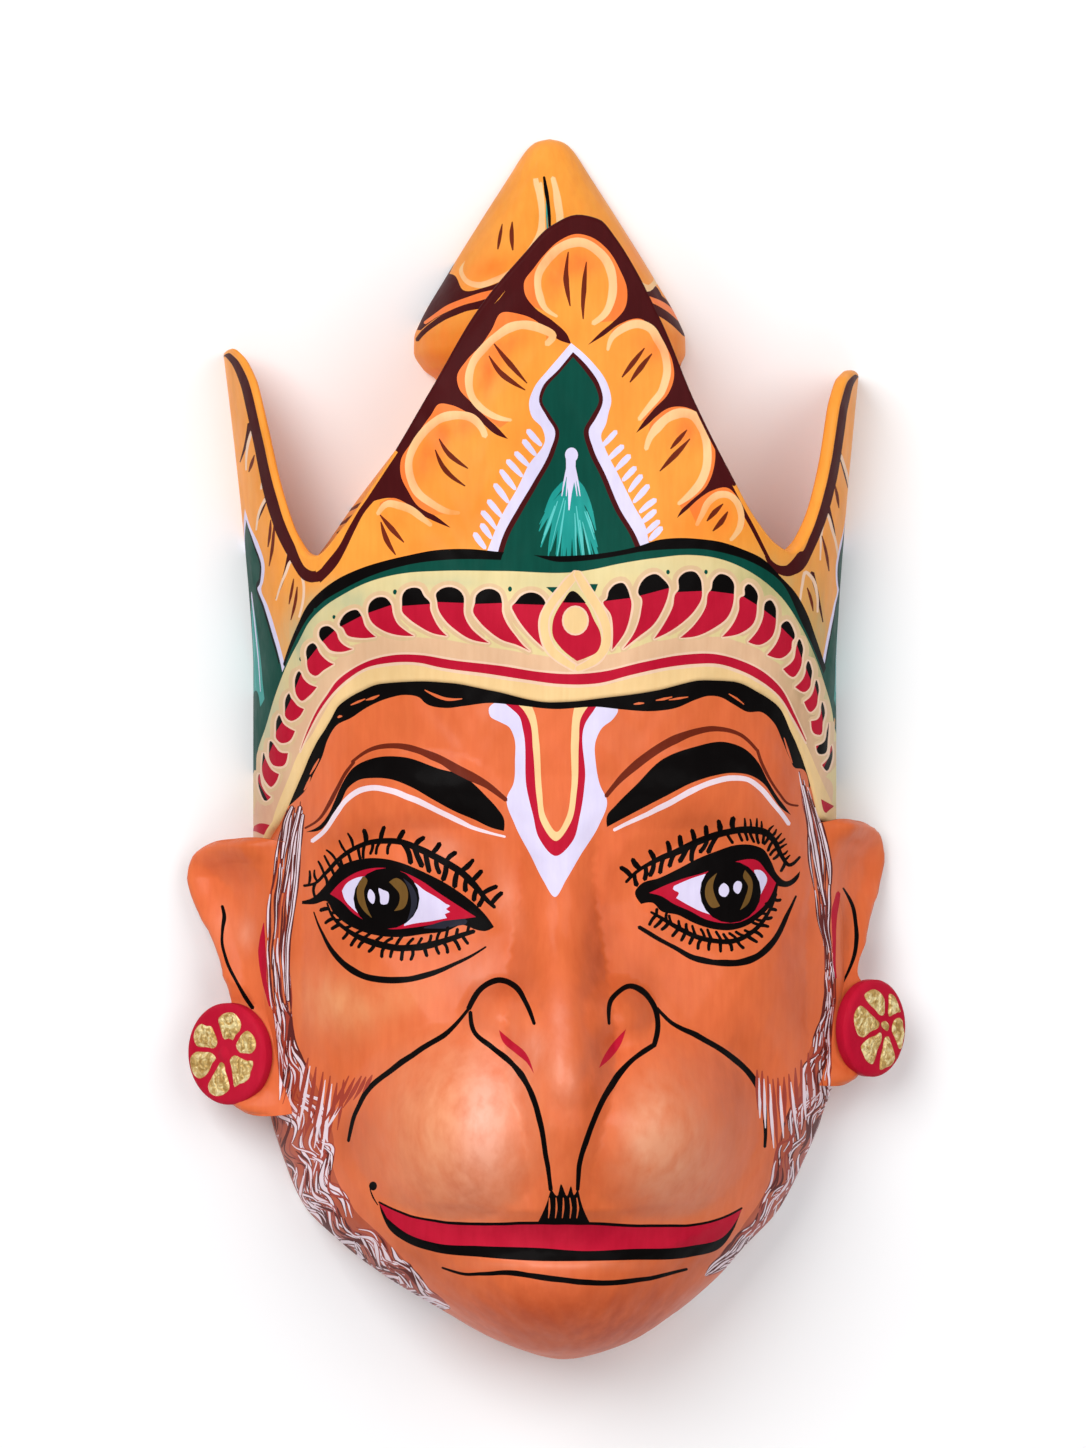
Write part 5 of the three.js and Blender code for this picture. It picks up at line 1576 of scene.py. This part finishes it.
# %% Paint the medallion
RING_SIDES = ([(577, 573), (564, 588), (553, 602), (545, 617), (545, 634), (550, 648), (564, 661),
     (577, 669)],
    [(577, 573), (588, 592), (597, 606), (604, 620), (607, 634), (605, 647), (598, 657), (577, 669)])
for side in RING_SIDES:
    crown.stroke("pink_cream", (9, 11, 11, 11, 11, 11, 9), side)
    crown.stroke("cream", (7, 8.5, 8.5, 8.5, 8.5, 8.5, 5), side)
crown.area("crimson", [(561, 604), (553, 621), (553, 636), (561, 648), (577, 661)],
    [(588, 657), (597, 652), (601, 643), (600, 632), (594, 620), (588, 607), (571.6, 591)])
crown.area("black", [(571.6, 591), (586, 603)], [(563, 602.5)])
crown.dab("pink_cream", (575.4, 620.5), (13.5, 15))
crown.dab("cream", (575.4, 620.5), (11.8, 13.3))

# %% Paint the lines along the forehead
LINE_TOP = [(300, 751), (308, 729), (320, 705), (327, 695), (336, 682), (351, 670), (366, 662), (394, 655),
    (420, 655), (451, 660), (502, 666), (540, 672), (566, 674), (600, 672), (644, 662), (682, 655),
    (714, 654), (739, 660), (765, 673), (780, 687), (795, 715), (806, 740)]
LINE_LOW = [(806, 742), (793, 718), (780, 697), (759, 680), (739, 670), (718, 664), (695, 664), (669, 667),
    (631, 675), (600, 683), (559, 684), (528, 680), (489, 674), (438, 667), (420, 663), (389, 663),
    (366, 668), (348, 679), (333, 693), (321, 709), (309, 731), (300, 751)]
crown.area("cream",
    [(268, 834), (275, 812), (288, 779), (301, 749), (311, 736), (321, 718), (333, 698), (348, 682),
     (366, 671), (389, 666), (420, 666), (438, 670), (489, 677), (528, 683), (559, 687), (600, 686),
     (631, 678), (669, 670), (695, 667), (718, 667), (739, 673), (759, 683), (780, 699), (793, 720),
     (806, 744), (818, 772), (832, 803)],
    [(840, 830), (822, 830), (806, 790), (790, 760), (700, 740), (400, 740), (310, 790), (262, 870),
     (258, 848)])
crown.stroke("pink_cream", (2, 3.4, 3.4, 3.4, 2), [(x, y + 1.5) for x, y in LINE_LOW])
crown.stroke("pink_cream", (2, 2.6, 2.6, 2.6, 2), [(x, y - 0.8) for x, y in LINE_TOP])
crown.area("crimson", LINE_TOP[1:], LINE_LOW[:1], LINE_LOW[1:])
crown.area("cream", [(252, 840), (262, 843), (272, 832)], [(268, 852), (250, 850), (240, 838), (245, 833)])
crown.area("crimson", [(259, 823.5), (270, 825)], [(265, 835), (257, 832), (250, 830)])
crown.area("crimson", [(834, 806)], [(826, 813), (821, 799)])
crown.area("cream", [(838, 822)], [(826, 826), (826, 814), (832, 808)])
print("marks on the crown so far:", len(crown.marks))

# %% Build the crown
def crown_thickness(across, up):
    """The wall in mm. The side points are thinner towards their tips, the left one most."""
    most = np.where(across < 0, 2.0, 1.0)
    thinner = most * ramp(np.abs(across) / CROWN_ROUND, 0.86, 1.0) * ramp(up, 32, 46)
    return CROWN_SHEET - thinner


def crown_inside(across, up):
    return crown_point(across, up, crown_thickness(across, up))


def crown_edge_paint(rim):
    """The side points have ochre edges, the front point a maroon one, and the foot is painted
    like the strip above it."""
    front_from, front_to = [math.radians(angle) * CROWN_ROUND for angle in (FRONT_FROM, FRONT_TO)]
    front = (rim[:, 0] > front_from) & (rim[:, 0] < front_to)
    return ["cream" if up < 20 else "maroon" if at_front else "ochre" for up,
        at_front in zip(rim[:, 1], front)]


crown_piece = closed_sheet(
    crown, crown_outline(), crown_inside, rounded_edge(crown_point, crown_thickness, CROWN_EDGE, CROWN_SIDE),
    1.5, "ochre", "edge_orange", crown_edge_paint)
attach(crown_piece, "root")
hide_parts("mask")

# %% [markdown]
# The cap behind the coronet is turned like a bell, with a bulb and a long tip. It is a quarter
# turn to each side, because the mask has no back.

# %% The skin of the cap
CAP_X = 0.9
CAP_PROFILE = [
    (36, 66), (41, 64), (47, 58.6), (60, 49.4), (75, 38), (86, 29.5), (91, 28.4), (94, 31.8),
    (98.5, 34.3), (102, 34.2), (105.8, 32.8), (117.2, 26.3), (132.4, 16.9), (143.8, 9.6), (147.5, 7.3),
    (150, 5.4), (151.6, 3.3), (152.4, 0),
]
CAP_HOLLOW = [
    (28, 60), (44, 56), (60, 44.5), (75, 33.2), (88, 24.5), (100, 25.5), (112, 23.5), (130, 12.6),
    (142, 4.6), (146, 0),
]
CAP_ROUND = 30.0
cap_radius, cap_hollow = smooth_table(CAP_PROFILE), smooth_table(CAP_HOLLOW)
cap_heights = np.linspace(36, 152.4, 3000)
cap_run = np.append(0, np.cumsum(np.hypot(np.diff(cap_heights), np.diff(cap_radius(cap_heights)))))


def cap_point(across, run):
    angle = across / CAP_ROUND
    y = np.interp(run, cap_run, cap_heights)
    lumps = hand_made(across, run, 0.12) * np.cos(angle)
    radius = np.maximum(cap_radius(y) + lumps * ramp(-run, -cap_run[-1], -cap_run[-1] + 12), 0.05)
    wider = 3.5 * ramp(-y, -44, -36)
    x = CAP_X + (radius + wider) * np.sin(angle)
    return np.column_stack([x, y, np.where(np.abs(angle) > math.pi / 2 - 1e-6, 0, radius * np.cos(angle))])


def cap_inside(across, run):
    angle = across / CAP_ROUND
    y = np.minimum(np.interp(run, cap_run, cap_heights), 145.8)
    radius = np.maximum(cap_hollow(y), 0.05)
    return np.column_stack([CAP_X + radius * np.sin(angle), y, radius * np.cos(angle)])


def box_outline(canvas, step=1.0):
    """The border of a canvas that is used from edge to edge."""
    left, low = canvas.low
    right, high = canvas.high
    across, upward = np.arange(left, right - step / 2, step), np.arange(low, high - step / 2, step)
    return np.vstack([
        np.column_stack([across, np.full(len(across), low)]),
        np.column_stack([np.full(len(upward), right), upward]),
        np.column_stack([left + right - across, np.full(len(across), high)]),
        np.column_stack([np.full(len(upward), left), low + high - upward]),
    ])


cap = Canvas("cap", cap_point, (-CAP_ROUND * math.pi / 2, 0), (CAP_ROUND * math.pi / 2, cap_run[-1] - 0.05))
print("the cap's side, from foot to tip, is", round(cap_run[-1]), "mm long")

# %% Paint the cap
cap.area("peach",
    [(517, 197), (500, 214), (484, 236), (470, 255), (459, 272), (465, 283), (478, 288), (496, 283),
     (511, 275), (523, 264), (533, 251), (541, 234), (544, 216), (542, 197), (538, 178)], [(524, 180)])
cap.area("ochre", [(524, 176)],
    [(516, 197), (499, 214), (482, 238), (467, 257), (463, 271), (468, 279), (478, 282), (495, 277),
     (509, 270), (519, 260), (529, 247), (537, 232), (539, 216), (537, 198), (533, 182)],
    first=(533, 176))
cap.stroke("brown", (1, 3.4, 3.6, 1.5), [(502, 224), (500, 237), (498, 249)])
cap.stroke("brown", (1.2, 4, 4, 1.5), [(512, 222), (511.5, 236), (513, 250)])
cap.stroke("peach", (5, 8, 8, 8), [(553, 178), (557, 197), (559, 212), (561, 240)])
cap.stroke("peach", (3, 5, 5, 5), [(540.6, 183), (542.5, 205), (543, 233)])
cap.stroke("teal", (0.8, 1.6, 1.6), [(546.5, 200), (547, 214), (547.3, 232)])
cap.stroke("black", (2.5, 4, 3.4, 2.5, 3), [(544, 177), (547, 197), (549, 214), (550, 228), (551, 245)])
cap.area("maroon", [(454, 275), (463, 290), (486, 287), (513, 275)], [(520, 300), (430, 330), (414, 330)],
    [(430, 303), (441, 274)])
cap.area("ochre", [(438, 317), (463, 306), (488, 300), (520, 290)],
    [(540, 330), (470, 400), (405, 390), (405, 345), (421, 330)])
cap.stroke("orange", (3, 6, 7, 6), [(425, 323), (448, 308), (476, 298), (506, 290)])
cap.stroke("maroon", (4, 6, 6.5, 7, 7),
    [(417, 340), (421, 335), (438, 321), (463, 309), (488, 303), (512, 296)])
cap.area("maroon", [(639, 287), (654, 285), (662, 296)], [(683, 318), (690, 340), (630, 300), (630, 285)])
cap.stroke("orange", (5, 6, 4), [(644, 297), (664, 306), (682, 322)])
cap.stroke("maroon", (7, 7, 5), [(640, 301), (651, 307), (668, 317), (688, 336)])
cap.area("ochre", [(651, 312), (668, 322), (690, 344)], [(690, 400), (640, 400), (640, 307)])
cap.stroke("peach", (4, 7, 4), [(638, 282), (649, 288), (655, 282)])
for line in ([(347, 512), (358, 506), (370, 500)], [(337, 526), (348, 520), (360, 515)]):
    for shift in (0, 7):
        cap.stroke("brown", (1.5, 3.2, 1.5), [(x, y + shift) for x, y in line])
CAP_ORANGE = (250, 132, 44)
for patch in (
    (CAP_ORANGE, 0.8, (492, 268), (32, 14), -22), (CAP_ORANGE, 0.6, (480, 330), (40, 20), -20),
    (CAP_ORANGE, 0.5, (440, 345), (30, 30), 0), (CAP_ORANGE, 0.5, (640, 250), (20, 30), 0),
    (CAP_ORANGE, 0.5, (670, 340), (24, 24), 0),
):
    cap.tone(*patch)
print("marks on the cap:", len(cap.marks))

# %% Build the cap
cap_piece = closed_sheet(cap, box_outline(cap), cap_inside, plain_edge, 1.5, "ochre", "raw_paper",
    "raw_paper")
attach(cap_piece, "root")
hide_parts("mask")

# %% [markdown]
# Each ear is a cupped plate of pulp with a rolled rim and a fat lobe. Its height over its own
# plane depends on how far a point is from the outline.

# %% The skin of an ear
EAR_OUTLINE = [
    (-7, -40), (-6, -27), (3, -23.6), (14, -23.7), (22.5, -24.8), (28.4, -27.4), (31, -32.5), (27.2, -42),
    (21.6, -48.6), (17.5, -56), (16.5, -63), (20, -69), (22, -77), (19.5, -85), (13, -90.3), (4, -92.2),
    (-5, -90), (-8, -80), (-7.5, -70), (-7, -54),
]
EAR_FRAMES = {
    -1: ((-70.8, 0, 29), (-0.62, 0, -0.785), (-0.785, 0, 0.62), 1.0),
    1: ((70.4, 3.6, 29), (0.46, 0, -0.888), (0.888, 0, 0.46), 0.965),
}
EAR_CUP = -3.0                             # mm, the ear's hollow, below its own plane
ear_front = smooth_table([(-1, -1.4), (0, -0.6), (0.8, 1.2), (2, 1.9), (4, 1), (7, -1.2), (12, -2.6),
     (30, -3)])
ear_back = smooth_table([(-1, -1.2), (0, -1.4), (1, -3), (6, -6), (12, -9), (30, -10)])


ear_loop = closed_line(EAR_OUTLINE, 1.0)
free_edge = np.column_stack([ear_loop[:, 0] - 16 * ramp(-ear_loop[:, 0], -7, 1), ear_loop[:, 1]])


def distance_to(loop, points):
    """How far the points are from a closed line."""
    a, b = loop, np.roll(loop, -1, axis=0)
    way = b - a
    away = points[:, None] - a
    t = np.clip((away * way).sum(2) / (way * way).sum(1), 0, 1)
    return np.linalg.norm(away - t[:, :, None] * way, axis=2).min(1)


def ear_depth(u, v):
    points = np.column_stack([u, v])
    return np.concatenate([distance_to(free_edge, points[i:i + 20000]) for i in range(0, len(points), 20000)])


EAR_DIP = {-1: 2.4, 1: 0.0}                # mm that the ear is thinner above its lobe


def ear_surface(side, height):
    root, out, front, length = EAR_FRAMES[side]

    def place(across, up):
        u = across * side
        high = height(u, up) - EAR_DIP[side] * mound(u, up, 17, -66, 9, 8, 1)
        x, z = [root[k] + out[k] * u + front[k] * high for k in (0, 2)]
        return np.column_stack([x, root[1] + up * length, np.maximum(z, 0)])
    return place


def ear_face(u, v):
    lobe = 3.4 * mound(u, v, 12, -77, 11, 13, 1.2)
    tucked = 5.5 * (np.clip(5 - u, 0, 12) / 10) ** 2
    rolled = (ear_front(ear_depth(u, v)) - EAR_CUP) * ramp(u, -1, 9)
    return EAR_CUP + rolled + lobe - tucked + hand_made(u * 1.3, v, 0.12)


def ear_rear(u, v):
    behind = ear_back(ear_depth(u, v)) - 5 * mound(u, v, 13, -78, 10, 13, 1.2)
    return np.minimum(behind, ear_face(u, v) - 0.8)


print("the ear's outline is", round(length_of(ear_loop)), "mm round")

# %% Build the ears
# Painted light on the ears: the pale patches are painted highlights, the brown ones painted shade under the
# fold at the top of the left ear and in the hollow of the right one.
EAR_LIGHT_AND_SHADE = {
    -1: [((240, 150, 120), 0.5, (222, 925), (14, 22), 0), ((240, 160, 130), 0.45, (246, 935), (10, 20), 0),
     ((196, 84, 40), 0.4, (235, 872), (30, 12), 25), ((236, 160, 125), 0.6, (240, 1020), (18, 14), 0)],
    1: [((176, 80, 44), 0.6, (845, 925), (12, 34), 5), ((238, 130, 90), 0.4, (866, 850), (26, 12), 0)],
}
EAR_WAIST = {-1: (4.2, -71), 1: (4.6, -64)}  # mm that the ear is drawn in above its lobe, and how low
ears = {}
for side, name in ((-1, "left_ear"), (1, "right_ear")):
    low, high = (-32, -94) if side > 0 else (-34, -94), (34, -22)
    ears[side] = Canvas(name, ear_surface(side, ear_face), low, high)
    drawn_in, low_down = EAR_WAIST[side]
    border = (ear_loop - np.outer(drawn_in * mound(*ear_loop.T, 19, low_down, 9, 12, 1), [1, 0])) * [side, 1]
    border = border if side > 0 else border[::-1]
    for paint_name, mark, flat, within in hair_marks:
        x, y = mark.mean(axis=0)
        if not flat and y < 1075 and (x - PICTURE[0] / 2) * side > 230:
            ears[side].marks.append((paint_name, mark, flat, within))
    for line in EAR_LINES[side]:
        ears[side].stroke(*line)
    for patch in EAR_LIGHT_AND_SHADE[side]:
        ears[side].tone(*patch)
    ear_piece = closed_sheet(ears[side], border[::-1], ear_surface(side, ear_rear), plain_edge, 1.3,
        "skin", "skin", "skin")
    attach(ear_piece, "root")
    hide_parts("mask")

# %% [markdown]
# The earrings are flat discs of painted wood with six petals of crinkled gold foil laid on them.

# %% The skin of an earring
EARRING_RADIUS = 12.6
EARRING_TILT = 40.0
DISC_BACK = -2.1                           # mm, the plane of its back
EARRING_SIZE = {-1: (0.985, 1.0), 1: (0.9, 0.965)}   # the discs were cut by hand, the right one smaller
EARRING_PLACES = {-1: (-80.2, -77, 20), 1: (80.2, -71.2, 20)}
# Each petal was measured on an enlarged picture of its disc, so the disc's middle and its half
# width and height there turn the numbers into mm.
DISC_PICTURE = {-1: ((647, 831), (529, 660)), 1: ((528, 777), (443, 655))}
LEFT_PETALS = [
    [(565, 385), (610, 325), (690, 290), (770, 292), (830, 345), (875, 440), (855, 520), (800, 580),
     (765, 645), (715, 622), (655, 640), (610, 545), (580, 450)],
    [(890, 560), (960, 515), (1030, 570), (1068, 640), (1062, 745), (1010, 805), (940, 808), (850, 795),
     (808, 710), (840, 640)],
    [(725, 905), (790, 840), (870, 870), (960, 905), (1030, 905), (1035, 960), (1000, 1050), (990, 1110),
     (920, 1185), (850, 1210), (790, 1250), (765, 1130), (745, 990)],
    [(610, 935), (650, 960), (665, 1050), (700, 1150), (715, 1280), (650, 1345), (530, 1380), (440, 1330),
     (425, 1260), (480, 1140), (550, 1020)],
    [(260, 820), (360, 815), (490, 830), (540, 890), (490, 950), (440, 1060), (380, 1130), (290, 1160),
     (215, 1100), (175, 1000), (180, 900)],
    [(265, 500), (340, 450), (400, 475), (465, 475), (515, 560), (555, 690), (530, 745), (400, 748),
     (270, 735), (225, 630)],
]
RIGHT_PETALS = [
    [(345, 320), (400, 275), (490, 250), (570, 300), (625, 380), (632, 480), (615, 600), (560, 600),
     (500, 530), (400, 430)],
    [(700, 320), (760, 340), (820, 430), (845, 510), (870, 570), (830, 575), (760, 600), (690, 620),
     (680, 580), (690, 450)],
    [(760, 690), (850, 650), (895, 690), (905, 780), (930, 870), (905, 960), (885, 1060), (850, 1070),
     (815, 1000), (770, 900), (735, 830)],
    [(640, 900), (685, 895), (720, 980), (760, 1080), (785, 1200), (750, 1270), (660, 1310), (570, 1335),
     (565, 1220), (600, 1050)],
    [(545, 830), (585, 860), (580, 950), (530, 1060), (490, 1200), (465, 1250), (390, 1220), (320, 1100),
     (290, 1010), (340, 950), (430, 890), (500, 870)],
    [(285, 460), (350, 500), (420, 570), (500, 650), (545, 700), (520, 760), (420, 820), (330, 885),
     (260, 860), (215, 760), (200, 580), (230, 510)],
    [(570, 725), (610, 685), (660, 695), (695, 760), (665, 820), (620, 790)],
]


def petals_of(side):
    middle, half = DISC_PICTURE[side]
    found = []
    for petal in LEFT_PETALS if side < 0 else RIGHT_PETALS:
        found.append((np.array(petal, float) - middle) / half * [EARRING_RADIUS, -EARRING_RADIUS])
    return found


disc_front = smooth_table([(0, 2.4), (9, 2.25), (11.2, 2.1), (12, 1.8), (12.5, 1.3), (13, 0.6)])


def earring_surface(side, height):
    middle = EARRING_PLACES[side]
    s, c = side * math.sin(math.radians(EARRING_TILT)), math.cos(math.radians(EARRING_TILT))

    def place(a, b):
        high = height(a, b)
        a, b = a * EARRING_SIZE[side][0], b * EARRING_SIZE[side][1]
        return np.column_stack([middle[0] + a * c + high * s, middle[1] + b, middle[2] - a * s + high * c])
    return place


def foil(side):
    """Height of the disc's front: petals of foil stand a little proud of the wood."""
    loops = [closed_line(petal, 0.6) for petal in petals_of(side)]

    def height(a, b):
        points = np.column_stack([a, b])
        raised = np.zeros(len(points))
        for loop in loops:
            near = np.flatnonzero(((points > loop.min(0)) & (points < loop.max(0))).all(1))
            if len(near):
                near = near[covered_in_parts(points[near], loop)]
            if len(near):
                raised[near] = ramp(distance_to(loop, points[near]), 0, 0.7)
        crinkle = 0.2 * np.sin(a * 3.1 + 2 * np.sin(b * 2.3)) * np.sin(b * 2.7 + 1.5 * np.sin(a * 2.9))
        bead = 0.5 * mound(a, b, 0, 0, 1.9, 1.9, 1.2)
        return disc_front(np.hypot(a, b)) - 0.35 + raised * (0.35 + crinkle) + bead
    return height


def disc_edge(side):
    def rows(rim):
        share = rim / np.linalg.norm(rim, axis=1)[:, None]
        return [earring_surface(side, lambda a, b, h=h: h + 0 * a)(*(share * r).T) for r,
            h in ((EARRING_RADIUS, 0.7), (EARRING_RADIUS, -1.5), (EARRING_RADIUS - 0.2, -1.9))]
    return rows


print("petals:", len(LEFT_PETALS), "and", len(RIGHT_PETALS) - 1)

# %% Build the earrings
for side, name in ((-1, "left_earring"), (1, "right_earring")):
    disc = Canvas(name + "_disc", earring_surface(side, foil(side)), (-13, -13), (13, 13))
    for petal in petals_of(side):
        disc.ring("gold", petal, flat=True)
    around = np.linspace(0, 2 * math.pi, 90, endpoint=False)
    border = np.column_stack([np.cos(around), np.sin(around)]) * 12.5
    back = earring_surface(side, lambda a, b: DISC_BACK + 0 * a)
    earring = closed_sheet(disc, border, lambda a, b: back(a * 0.968, b * 0.968), disc_edge(side), 0.5,
        "crimson", "crimson", "crimson")
    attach(earring, "root")
    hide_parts(name)

# %% [markdown]
# A studio table: a pale floor, and large soft lamps on both sides, so that the varnish shows
# long gentle highlights and no hard shadow.

# %% Floor and light
floor_mesh = bpy.data.meshes.new("floor")
FLOOR_HALF = 3.0
floor_corners = [(x * FLOOR_HALF, y * FLOOR_HALF, 0) for x, y in ((-1, -1), (1, -1), (1, 1), (-1, 1))]
floor_mesh.from_pydata(floor_corners, [], [(0, 1, 2, 3)])
floor = bpy.data.objects.new("floor", floor_mesh)
bpy.context.scene.collection.objects.link(floor)
floor_paper = bpy.data.materials.new("floor_paper")
floor_paper.use_nodes = True
floor_shader = floor_paper.node_tree.nodes["Principled BSDF"]
floor_shader.inputs["Base Color"].default_value = (0.94, 0.94, 0.95, 1)
floor_shader.inputs["Roughness"].default_value = 0.9
floor_mesh.materials.append(floor_paper)


def lamp(name, place, size, power):
    """A soft box that faces the mask."""
    data = bpy.data.lights.new(name, "AREA")
    data.shape = "RECTANGLE"
    data.size, data.size_y = size
    data.energy = power
    lit = bpy.data.objects.new(name, data)
    lit.location = place
    lit.rotation_euler = Vector(place).to_track_quat("Z", "Y").to_euler()
    bpy.context.scene.collection.objects.link(lit)


lamp("left_lamp", (-0.6, 0.5, 1.3), (0.8, 0.9), 15)
lamp("right_lamp", (0.6, 0.3, 1.25), (0.8, 0.9), 6.5)
lamp("lower_lamp", (0.0, -0.8, 1.25), (1.0, 0.6), 3.4)
world = bpy.data.worlds.new("studio")
world.use_nodes = True
backdrop = world.node_tree.nodes["Background"]
backdrop.inputs["Color"].default_value = (1, 1, 1, 1)
backdrop.inputs["Strength"].default_value = 0.27
bpy.context.scene.world = world
bpy.context.scene.view_settings.view_transform = "Standard"
